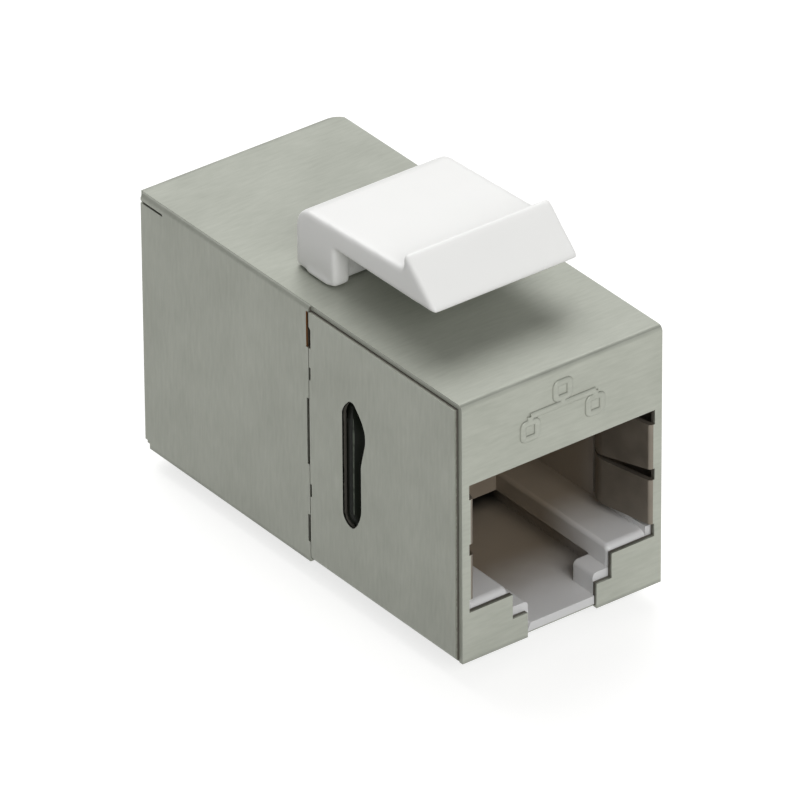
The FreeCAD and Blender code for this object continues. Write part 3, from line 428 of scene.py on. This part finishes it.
def black_moulding(finishes):
    """Black PBT, moulded: nearly black and satin, with a broken grey highlight painted on each snap boss's
    crest.
    """
    made, tree, shader = material("black_pbt_moulded_satin")
    place = add(tree, "ShaderNodeTexCoord").outputs["Object"]
    sink = add(tree, "ShaderNodeTexNoise", {"Vector": place, "Scale": per_mm(SINK),
                                            "Detail": 1.0}).outputs["Fac"]
    haze = add(tree, "ShaderNodeTexNoise", {"Vector": place, "Scale": per_mm(HAZE),
                                            "Detail": 3.0}).outputs["Fac"]
    depth = box_distances(tree, place)[0]
    # painted highlight: the boss's crest, at the box's side, is painted a broken grey line
    crest = add(tree, "ShaderNodeMapRange", {"Value": depth, "From Min": 0.0, "From Max": HIGHLIGHT_DEPTH * MM,
                                             "To Min": 1.0, "To Max": 0.0}).outputs["Result"]
    broken = add(tree, "ShaderNodeMapRange", {"Value": haze, "From Min": 0.15,
                                              "From Max": 0.6}).outputs["Result"]
    crest = add(tree, "ShaderNodeMath", {0: crest, 1: broken}, operation="MULTIPLY").outputs[0]
    tint = add(tree, "ShaderNodeMix", {0: crest, 6: finishes.black_plastic, 7: finishes.boss_painted_highlight},
               data_type="RGBA").outputs[2]
    dull = add(tree, "ShaderNodeMapRange", {"Value": haze, "To Min": 0.45, "To Max": 0.6})
    bump = add(tree, "ShaderNodeBump", {"Height": sink, "Strength": 0.4, "Distance": 0.06 * MM})
    link_finish(tree, shader, tint, dull.outputs["Result"], bump.outputs["Normal"])
    shader.inputs["IOR"].default_value = 1.57
    shader.inputs["Specular IOR Level"].default_value = 0.04
    return made


def gold_contact(finishes):
    """Phosphor bronze strip, gold plated: warm metal with fine drawing lines along the spring."""
    made, tree, shader = material("phosphor_bronze_gold_plated")
    place = add(tree, "ShaderNodeTexCoord").outputs["Object"]
    drawn = add(tree, "ShaderNodeMapping", {"Vector": place, "Scale": (1.0, 0.05, 0.15)}).outputs[0]
    lines = add(tree, "ShaderNodeTexNoise", {"Vector": drawn, "Scale": per_mm(DRAWN_LINE),
                                             "Detail": 2.0}).outputs["Fac"]
    dull = add(tree, "ShaderNodeMapRange", {"Value": lines, "To Min": 0.16, "To Max": 0.34})
    bump = add(tree, "ShaderNodeBump", {"Height": lines, "Strength": 0.2, "Distance": 0.004 * MM})
    link_finish(tree, shader, None, dull.outputs["Result"], bump.outputs["Normal"])
    shader.inputs["Base Color"].default_value = finishes.contact_gold
    shader.inputs["Metallic"].default_value = 1.0
    return made


def board_laminate(finishes):
    """Glass-resin laminate, sawn: brown edge with darker glass layers through its thickness."""
    made, tree, shader = material("glass_resin_laminate_sawn")
    place = add(tree, "ShaderNodeTexCoord").outputs["Object"]
    layers = add(tree, "ShaderNodeTexWave", {"Vector": place, "Scale": per_mm(GLASS_LAYER),
                                             "Distortion": 1.5, "Detail": 2.0},
                 wave_type="BANDS", bands_direction="Y")
    tint = add(tree, "ShaderNodeValToRGB", {"Fac": layers.outputs["Fac"]})
    tint.color_ramp.elements[0].color = finishes.board_glass
    tint.color_ramp.elements[1].color = finishes.board_resin
    link_finish(tree, shader, tint.outputs["Color"])
    shader.inputs["Roughness"].default_value = 0.6
    return made


def cut_face(middle, facing):
    """Whether a face of the folded sheet is a sheared edge: within its thickness and square to it."""
    if abs(abs(middle[1]) - LOWER_END) < FLAT and abs(facing[1]) > 1 - FLAT:
        return True
    for axis in range(3):
        for outer, inward in ((SHELL_LOW[axis], SHEET_GAUGE), (SHELL_HIGH[axis], -SHEET_GAUGE)):
            low, high = sorted((outer, outer + inward))
            if low + FLAT < middle[axis] < high - FLAT and abs(facing[axis]) < FLAT:
                return not on_sheet_face(middle, facing)
    return False


def on_sheet_face(middle, facing):
    """Whether a face lies in one of the box's outer or inner planes."""
    for axis, (low, high) in enumerate(zip(SHELL_LOW, SHELL_HIGH)):
        planes = (low, low + SHEET_GAUGE, high, high - SHEET_GAUGE)
        if abs(facing[axis]) > 1 - FLAT and any(abs(middle[axis] - plane) < FLAT for plane in planes):
            return True
    return False


def inside_face(middle, facing):
    """Whether a face of the folded sheet is on its inner side, on a spring leaf or on a leaf's bend."""
    inwards = -facing[0] * math.copysign(1, middle[0])
    if inwards > BEND_TURN and abs(middle[0]) > LEAF_ROOT and abs(middle[1]) > BEND_END:
        return True
    return all(low + SHEET_GAUGE - FLAT < place < high - SHEET_GAUGE + FLAT
               for low, place, high in zip(SHELL_LOW, middle, SHELL_HIGH))


def mouth_face(middle, facing):
    """Whether a face is the torn edge at the upper mouth of the seam, looking forward."""
    return facing[1] < -MOUTH_FACING and all(
        low < place < high for low, place, high in zip(MOUTH_LOW, middle, MOUTH_HIGH))


def slot_shade_face(middle, facing):
    """Whether a face is the wall of a snap slot, painted black as shade."""
    beside = abs(middle[1] - SLOT_MIDDLE) < SLOT_REACH and SLOT_LOW < middle[2] < SLOT_HEAD + FLAT
    return beside and cut_face(middle, facing)


def eased(piece, ease):
    """Round a piece's sharp edges, less where the neighbouring edges leave no room."""
    mesh = piece.data
    work = bmesh.new()
    work.from_mesh(mesh)
    weight = work.edges.layers.float.new("bevel_weight_edge")
    for edge in work.edges:
        if not edge.is_manifold or edge.calc_face_angle() < SHARP:
            continue
        along = (edge.verts[1].co - edge.verts[0].co).normalized()
        room = ease
        for corner in edge.verts:
            for other in corner.link_edges:
                reach = other.other_vert(corner).co - corner.co
                if other != edge and abs(reach.normalized().dot(along)) < CONTINUES:
                    room = min(room, ROOM_SHARE * reach.length)
        edge[weight] = room / ease
    work.to_mesh(mesh)
    work.free()
    rounding = piece.modifiers.new("eased_edges", "BEVEL")
    rounding.width = ease
    rounding.segments = EASE_SEGMENTS
    rounding.limit_method = "WEIGHT"
    rounding.use_clamp_overlap = True


def softened(piece, grid, steps):
    """Round all of a piece's edges evenly: lay an even net over it, smooth that and thin it out."""
    net = piece.modifiers.new("net", "REMESH")
    net.mode = "VOXEL"
    net.voxel_size = grid
    smoothing = piece.modifiers.new("smoothing", "SMOOTH")
    smoothing.iterations = steps
    thinning = piece.modifiers.new("thinning", "DECIMATE")
    thinning.ratio = NET_KEPT
    start = piece.data
    seen = piece.evaluated_get(bpy.context.evaluated_depsgraph_get())
    piece.data = bpy.data.meshes.new_from_object(seen)
    piece.modifiers.clear()
    bpy.data.meshes.remove(start)
    piece.data.name = piece.name
    piece.data.shade_smooth()


def finished(node, finish, ease, others=(), shaped=None, soft=None):
    """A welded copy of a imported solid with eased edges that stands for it.

    Others are pairs of a finish and a test that picks its faces by middle and direction, in millimetres.
    Shaped is a function that works on the welded copy first. Soft is the net and the steps for softening.
    """
    work = bmesh.new()
    work.from_mesh(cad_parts[node].data)
    bmesh.ops.remove_doubles(work, verts=work.verts, dist=WELD)
    bmesh.ops.dissolve_limit(work, angle_limit=COPLANAR, verts=work.verts, edges=work.edges)
    if shaped:
        shaped(work)
    mesh = bpy.data.meshes.new(node + "_finished")
    work.to_mesh(mesh)
    work.free()
    if "custom_normal" in mesh.attributes:
        mesh.attributes.remove(mesh.attributes["custom_normal"])
    mesh.materials.clear()
    mesh.materials.append(finish)
    for index, (other, test) in enumerate(others, start=1):
        mesh.materials.append(other)
        for face in mesh.polygons:
            if test(face.center / MM, face.normal):
                face.material_index = index
    mesh.shade_smooth()
    mesh.set_sharp_from_angle(angle=SHARP)
    piece = bpy.data.objects.new(node + "_finished", mesh)
    bpy.context.scene.collection.objects.link(piece)
    if soft:
        softened(piece, *soft)
    else:
        if ease:
            eased(piece, ease)
        even = piece.modifiers.new("even_shading", "WEIGHTED_NORMAL")
        even.keep_sharp = True
    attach(piece, "latch" if node == "latch" else BODY)
    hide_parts(node)
    return piece


def dress(nodes, finish):
    """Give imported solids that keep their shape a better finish."""
    for node in nodes:
        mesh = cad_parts[node].data
        mesh.materials.clear()
        mesh.materials.append(finish)


class JACK_OT_shield(bpy.types.Operator):
    """Finish the two folded sheets of the shield"""
    bl_idname = "jack.shield"
    bl_label = "Shield"

    def execute(self, context):
        finishes = context.scene.jack_finishes
        sizes = context.scene.jack_sizes
        finish = plated_sheet(finishes, sizes)
        edge = sheared_edge("steel_sheared_edge", finishes.sheet_dark, finishes, sizes)
        mouth = sheared_edge("steel_sheared_edge_copper_bare", finishes.copper_flash, finishes, sizes)
        # painted shade: the snap slots' walls are painted black
        slot = sheared_edge("steel_sheared_edge_painted_shade", finishes.black_plastic, finishes, sizes)
        others = ((inner_sheet(finishes), inside_face), (edge, cut_face), (mouth, mouth_face),
                  (slot, slot_shade_face))
        finished("upper_shield", finish, 0.0, others)
        finished("lower_shield", finish, 0.0, others, self.round_slots)
        return {"FINISHED"}

    def round_slots(self, work):
        """Blunt the tapered head of each snap slot, and cut its foot back towards the front."""
        def by_slot(corner, low, high):
            return abs(corner.co.y / MM - SLOT_MIDDLE) < SLOT_REACH and low < corner.co.z / MM < high

        head = SLOT_FRONT[1], SLOT_HEAD + FLAT
        flanks = [edge for edge in work.edges if all(by_slot(corner, *head) for corner in edge.verts)
                  and abs(edge.verts[0].co.x - edge.verts[1].co.x) < FLAT * MM
                  and edge.calc_length() > FLANK_LEAST * MM]
        if not flanks:
            raise RuntimeError("the snap slots weren't found")
        bmesh.ops.bisect_edges(work, edges=flanks, cuts=FLANK_CUTS)
        for corner in work.verts:
            off = corner.co.y / MM - SLOT_MIDDLE
            if by_slot(corner, *head):
                half, low = SLOT_REAR if off > 0 else SLOT_FRONT
                rise = min(max((corner.co.z / MM - low) / (SLOT_HEAD - low), 0.0), 1.0)
                wide = max(abs(off), half * (1 - rise ** SLOT_BLUNT) ** (1 / SLOT_BLUNT))
                corner.co.y = (SLOT_MIDDLE + math.copysign(wide, off)) * MM
            elif off < 0 and by_slot(corner, SLOT_LOW, SLOT_FOOT):
                corner.co.z += SLOT_FOOT_RISE * (-off / SLOT_REAR[0]) ** SLOT_FOOT_CURVE * MM


class JACK_OT_sign(bpy.types.Operator):
    """Raise a plain network sign, three linked boxes, out of the sheet over the front port"""
    bl_idname = "jack.sign"
    bl_label = "Port sign"

    def execute(self, context):
        sizes = context.scene.jack_sizes
        mesh = bpy.data.meshes.new("port_sign")
        piece = bpy.data.objects.new("port_sign", mesh)
        context.scene.collection.objects.link(piece)
        drawing = piece.modifiers.new("sign", "NODES")
        drawing.node_group = self.tree()
        given = {"Width": sizes.sign_width, "Height": sizes.sign_height, "Box": sizes.sign_box,
                 "Stroke": sizes.sign_stroke, "Relief": sizes.sign_relief, "Corner": sizes.sign_corner,
                 "Place": (0.0, SHELL_LOW[1] * MM, sizes.sign_middle),
                 "Finish": bpy.data.materials["nickel_plated_steel_satin"]}
        for item in drawing.node_group.interface.items_tree:
            if item.in_out == "INPUT":
                drawing[item.identifier] = given[item.name]
        seen = piece.evaluated_get(context.evaluated_depsgraph_get())
        piece.data = bpy.data.meshes.new_from_object(seen)
        piece.data.name = "port_sign"
        piece.modifiers.remove(drawing)
        bpy.data.meshes.remove(mesh)
        if not piece.data.polygons:
            raise RuntimeError("the port sign came out empty")
        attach(piece, BODY)
        return {"FINISHED"}

    def tree(self):
        """Node tree: box outlines on three points and the lines between them, swept and pressed flat."""
        tree = bpy.data.node_groups.new("port_sign", "GeometryNodeTree")
        for name in ("Width", "Height", "Box", "Stroke", "Relief", "Corner"):
            socket = tree.interface.new_socket(name, in_out="INPUT", socket_type="NodeSocketFloat")
            socket.subtype = "DISTANCE"
        tree.interface.new_socket("Place", in_out="INPUT", socket_type="NodeSocketVector")
        tree.interface.new_socket("Finish", in_out="INPUT", socket_type="NodeSocketMaterial")
        tree.interface.new_socket("Geometry", in_out="OUTPUT", socket_type="NodeSocketGeometry")
        given = add(tree, "NodeGroupInput").outputs
        half_width = self.half(tree, given["Width"])
        half_height = self.half(tree, given["Height"])
        half_box = self.half(tree, given["Box"])
        left = add(tree, "ShaderNodeMath", {0: half_width, 1: -1.0}, operation="MULTIPLY").outputs[0]
        low = add(tree, "ShaderNodeMath", {0: half_height, 1: -1.0}, operation="MULTIPLY").outputs[0]
        box_top = add(tree, "ShaderNodeMath", {0: low, 1: half_box}, operation="ADD").outputs[0]
        box_foot = add(tree, "ShaderNodeMath", {0: half_height, 1: half_box},
                       operation="SUBTRACT").outputs[0]

        # a box at the top middle and one at each lower end
        outline = add(tree, "GeometryNodeCurvePrimitiveQuadrilateral", {"Width": given["Box"],
                                                                       "Height": given["Box"]})
        rounded = add(tree, "GeometryNodeFilletCurve", {"Curve": outline.outputs[0], "Count": 4,
                                                        "Radius": given["Corner"]}, mode="POLY")
        strokes = []
        for across, up in ((left, low), (0.0, half_height), (half_width, low)):
            spot = add(tree, "ShaderNodeCombineXYZ", {"X": across, "Y": up}).outputs[0]
            moved = add(tree, "GeometryNodeTransform", {"Geometry": rounded.outputs[0], "Translation": spot})
            strokes.append(moved.outputs[0])
        # a stem down from the upper box, a bar across, and a drop to each lower box
        for ends in (((0.0, box_foot), (0.0, 0.0)), ((left, 0.0), (half_width, 0.0)),
                     ((left, 0.0), (left, box_top)), ((half_width, 0.0), (half_width, box_top))):
            start, end = (add(tree, "ShaderNodeCombineXYZ", {"X": across, "Y": up}).outputs[0]
                          for across, up in ends)
            line = add(tree, "GeometryNodeCurvePrimitiveLine", {"Start": start, "End": end})
            strokes.append(line.outputs[0])
        joined = add(tree, "GeometryNodeJoinGeometry")
        for stroke in strokes:
            tree.links.new(stroke, joined.inputs[0])

        half_stroke = self.half(tree, given["Stroke"])
        profile = add(tree, "GeometryNodeCurvePrimitiveCircle", {"Resolution": 16, "Radius": half_stroke})
        swept = add(tree, "GeometryNodeCurveToMesh", {"Curve": joined.outputs[0], "Fill Caps": True,
                                                      "Profile Curve": profile.outputs[0]})
        # drawn flat, pressed down to the relief, then stood up on the front face
        press = add(tree, "ShaderNodeMath", {0: given["Relief"], 1: half_stroke}, operation="DIVIDE")
        press = add(tree, "ShaderNodeCombineXYZ", {"X": 1.0, "Y": 1.0, "Z": press.outputs[0]}).outputs[0]
        pressed = add(tree, "GeometryNodeTransform", {"Geometry": swept.outputs[0], "Scale": press})
        stood = add(tree, "GeometryNodeTransform", {"Geometry": pressed.outputs[0],
                                                    "Translation": given["Place"],
                                                    "Rotation": (math.pi / 2, 0.0, 0.0)})
        smooth = add(tree, "GeometryNodeSetShadeSmooth", {"Geometry": stood.outputs[0]})
        whole = add(tree, "GeometryNodeRealizeInstances", {"Geometry": smooth.outputs[0]})
        dressed = add(tree, "GeometryNodeSetMaterial", {"Geometry": whole.outputs[0],
                                                        "Material": given["Finish"]})
        add(tree, "NodeGroupOutput", {0: dressed.outputs[0]})
        return tree

    def half(self, tree, socket):
        """Half of a socket's value."""
        return add(tree, "ShaderNodeMath", {0: socket, 1: 0.5}, operation="MULTIPLY").outputs[0]


class JACK_OT_latch(bpy.types.Operator):
    """Finish the white snap latch"""
    bl_idname = "jack.latch"
    bl_label = "Latch"

    def execute(self, context):
        finish = white_moulding("white_abs_moulded", context.scene.jack_finishes.latch_white)[0]
        sizes = context.scene.jack_sizes
        finished("latch", finish, 0.0, soft=(sizes.latch_grid, sizes.latch_softness))
        return {"FINISHED"}


class JACK_OT_sockets(bpy.types.Operator):
    """Finish the two white socket housings"""
    bl_idname = "jack.sockets"
    bl_label = "Socket housings"

    def execute(self, context):
        finish = housing_moulding(context.scene.jack_finishes)
        self.sizes = context.scene.jack_sizes
        for row in ROWS:
            finished(row + "_socket_housing", finish, self.sizes.moulding_ease,
                     shaped=self.shaped)
        return {"FINISHED"}

    def shaped(self, work):
        """Draw a sill out, raise the latch stops behind the port, and open the leaf windows further."""
        self.sill(work)
        for corner in work.verts:
            across, along, up = (abs(v) / MM for v in corner.co)
            by_stop = along > STOP_END and STOP_SIDES[0] < across < STOP_SIDES[1] and up < STOP_TOP[1]
            if by_stop and across < STOP_INNER and up > STOP_FOOT and corner.co.x * corner.co.y > 0:
                corner.co.x -= math.copysign(self.sizes.stop_shift, corner.co.x)
            if by_stop and up > STOP_TOP[0]:
                corner.co.z += self.sizes.stop_raise
            if along > WINDOW_END and across > WINDOW_SIDE and abs(up - WINDOW_TOP) < FLAT:
                corner.co.z += self.sizes.window_raise

    def sill(self, work):
        """Draw the front of the channel's floor out over the bottom sheet's end."""
        def at_end(face):
            end = abs(face.calc_center_median().y) / MM
            return abs(face.normal.y) > 1 - FLAT and abs(end - LOWER_END) < FLAT

        for side in (-SILL_SIDE, SILL_SIDE):
            ends = [face for face in work.faces if at_end(face)]
            cut = ends + list({edge for face in ends for edge in face.edges}) + list(
                {corner for face in ends for corner in face.verts})
            bmesh.ops.bisect_plane(work, geom=cut, plane_co=(side * MM, 0, 0), plane_no=(1, 0, 0))
        sills = [face for face in work.faces if at_end(face) and all(
            abs(corner.co.x / MM) < SILL_SIDE + FLAT and corner.co.z / MM < SILL_TOP
            for corner in face.verts)]
        if not sills:
            raise RuntimeError("the channel's sill wasn't found")
        drawn = bmesh.ops.extrude_face_region(work, geom=sills)["geom"]
        bmesh.ops.delete(work, geom=sills, context="FACES_ONLY")
        for corner in drawn:
            if isinstance(corner, bmesh.types.BMVert):
                corner.co.y += math.copysign(self.sizes.sill_reach, corner.co.y)
                if corner.co.z / MM < STOP_FOOT:
                    corner.co.z -= self.sizes.sill_drop


class JACK_OT_carriers(bpy.types.Operator):
    """Finish the two black contact carriers"""
    bl_idname = "jack.carriers"
    bl_label = "Contact carriers"

    steps = 4

    def execute(self, context):
        finish = black_moulding(context.scene.jack_finishes)
        self.sizes = context.scene.jack_sizes
        for row in ROWS:
            finished(row + "_contact_carrier", finish, self.sizes.moulding_ease,
                     shaped=self.domed)
        return {"FINISHED"}

    def domed(self, work):
        """Turn the flat top of each snap boss into a bead: its rim sinks, and rings rise inside it."""
        tops = [face for face in work.faces
                if SHELL_HIGH[0] - abs(face.calc_center_median().x / MM) < FLAT]
        for top in tops:
            crest = math.copysign(SHELL_HIGH[0] * MM, top.normal.x)
            rim = [corner.co.copy() for corner in top.verts]
            low, high = ([pick(corner[axis] for corner in rim) for axis in range(3)] for pick in (min, max))
            middle = (Vector(low) + Vector(high)) / 2
            half = (Vector(high) - Vector(low)) / 2
            for step in range(self.steps + 1):
                if step:
                    bmesh.ops.inset_region(work, faces=[top], thickness=0.0)
                inward = step * half.y / (self.steps + 0.5)
                shrink = Vector((1.0, 1 - inward / half.y, 1 - inward / half.z))
                sunk = self.sizes.boss_dome * (1 - step / self.steps) ** 2
                for corner, start in zip(top.verts, rim):
                    corner.co = middle + (start - middle) * shrink
                    corner.co.x = crest - math.copysign(sunk, crest)


class JACK_OT_contacts(bpy.types.Operator):
    """Finish the spring contacts"""
    bl_idname = "jack.contacts"
    bl_label = "Spring contacts"

    def execute(self, context):
        dress(CONTACTS, gold_contact(context.scene.jack_finishes))
        return {"FINISHED"}


class JACK_OT_board(bpy.types.Operator):
    """Finish the circuit board between the sockets"""
    bl_idname = "jack.board"
    bl_label = "Circuit board"

    def execute(self, context):
        dress(["circuit_board"], board_laminate(context.scene.jack_finishes))
        return {"FINISHED"}


class JACK_OT_stage(bpy.types.Operator):
    """Set up the floor, the lights and the camera"""
    bl_idname = "jack.stage"
    bl_label = "Studio"

    def execute(self, context):
        lights = context.scene.jack_lights
        context.scene.view_settings.view_transform = "Standard"
        self.floor(context, lights.floor_glow)
        self.world(context, lights.ambient)
        self.lamp(context, "softbox", SOFTBOX_PLACE, SOFTBOX_SIZE, lights.softbox_power)
        self.lamp(context, "front_light", FRONT_PLACE, FRONT_SIZE, lights.front_power)
        self.camera(context, lights.lens)
        return {"FINISHED"}

    def seen(self, tree):
        """1 where a ray comes from the camera or from a mirror-like or clear surface."""
        path = add(tree, "ShaderNodeLightPath").outputs
        either = add(tree, "ShaderNodeMath", {0: path["Is Camera Ray"], 1: path["Is Glossy Ray"]},
                     operation="MAXIMUM").outputs[0]
        return add(tree, "ShaderNodeMath", {0: either, 1: path["Is Transmission Ray"]},
                   operation="MAXIMUM").outputs[0]

    def floor(self, context, glow):
        """A sheet of white paper just under the lug, lifted to white where it is seen."""
        finishes = context.scene.jack_finishes
        half = context.scene.jack_sizes.floor_size / 2
        mesh = bpy.data.meshes.new("floor")
        low = -FLAT * MM
        corners = [(-half, -half, low), (half, -half, low), (half, half, low), (-half, half, low)]
        mesh.from_pydata(corners, [], [(0, 1, 2, 3)])
        made, tree, shader = material("white_paper_sweep")
        shader.inputs["Base Color"].default_value = finishes.floor_paper
        shader.inputs["Roughness"].default_value = 0.9
        shader.inputs["Specular IOR Level"].default_value = 0.0
        shader.inputs["Emission Color"].default_value = finishes.backdrop
        lift = add(tree, "ShaderNodeMath", {0: self.seen(tree), 1: glow}, operation="MULTIPLY")
        tree.links.new(lift.outputs[0], shader.inputs["Emission Strength"])
        mesh.materials.append(made)
        floor = bpy.data.objects.new("floor", mesh)
        context.scene.collection.objects.link(floor)

    def world(self, context, ambient):
        """Even light from all round."""
        world = bpy.data.worlds.new("studio")
        world.use_nodes = True
        tree = world.node_tree
        tree.nodes.clear()
        light = add(tree, "ShaderNodeBackground", {"Color": context.scene.jack_finishes.backdrop,
                                                   "Strength": ambient})
        add(tree, "ShaderNodeOutputWorld", {"Surface": light.outputs["Background"]})
        context.scene.world = world

    def lamp(self, context, name, place, size, power):
        """A square lamp that looks at the jack."""
        data = bpy.data.lights.new(name, "AREA")
        data.energy = power
        data.size = size
        lamp = bpy.data.objects.new(name, data)
        lamp.location = place
        lamp.rotation_euler = (-Vector(place)).to_track_quat("-Z", "Y").to_euler()
        context.scene.collection.objects.link(lamp)

    def camera(self, context, lens):
        """A long lens from the front left, above the roof."""
        data = bpy.data.cameras.new("camera")
        data.sensor_width = CAMERA_SENSOR
        data.lens = lens
        data.clip_start, data.clip_end = CAMERA_CLIP
        camera = bpy.data.objects.new("camera", data)
        azimuth, tilt, roll = (math.radians(v) for v in CAMERA_TURN)
        level = math.cos(tilt)
        forward = Vector((math.sin(azimuth) * level, math.cos(azimuth) * level, -math.sin(tilt)))
        turn = forward.to_track_quat("-Z", "Y").to_matrix().to_4x4() @ Matrix.Rotation(roll, 4, "Z")
        camera.matrix_world = Matrix.Translation(CAMERA_PLACE) @ turn
        context.scene.collection.objects.link(camera)
        context.scene.camera = camera


class JACK_PT_panel(bpy.types.Panel):
    """Finishes, sizes and lights of the jack, and the steps that build its looks"""
    bl_idname = "JACK_PT_panel"
    bl_label = "Keystone Jack"
    bl_space_type = "VIEW_3D"
    bl_region_type = "UI"
    bl_category = "Keystone Jack"

    def draw(self, context):
        scene = context.scene
        for group in (scene.jack_finishes, scene.jack_sizes, scene.jack_lights):
            box = self.layout.box()
            for name in group.__annotations__:
                box.prop(group, name)
        for step in OPERATORS:
            self.layout.operator(step.bl_idname)


GROUPS = {"jack_finishes": JackFinishes, "jack_sizes": JackSizes, "jack_lights": JackLights}
OPERATORS = (JACK_OT_shield, JACK_OT_sign, JACK_OT_latch, JACK_OT_sockets, JACK_OT_carriers,
             JACK_OT_contacts, JACK_OT_board, JACK_OT_stage)


def register():
    for name, group in GROUPS.items():
        bpy.utils.register_class(group)
        setattr(bpy.types.Scene, name, bpy.props.PointerProperty(type=group))
    for step in OPERATORS:
        bpy.utils.register_class(step)
    bpy.utils.register_class(JACK_PT_panel)


def unregister():
    bpy.utils.unregister_class(JACK_PT_panel)
    for step in reversed(OPERATORS):
        bpy.utils.unregister_class(step)
    for name, group in GROUPS.items():
        delattr(bpy.types.Scene, name)
        bpy.utils.unregister_class(group)


def main():
    register()
    bpy.ops.jack.shield()
    bpy.ops.jack.sign()
    bpy.ops.jack.latch()
    bpy.ops.jack.sockets()
    bpy.ops.jack.carriers()
    bpy.ops.jack.contacts()
    bpy.ops.jack.board()
    bpy.ops.jack.stage()


if __name__ == "__main__":
    main()
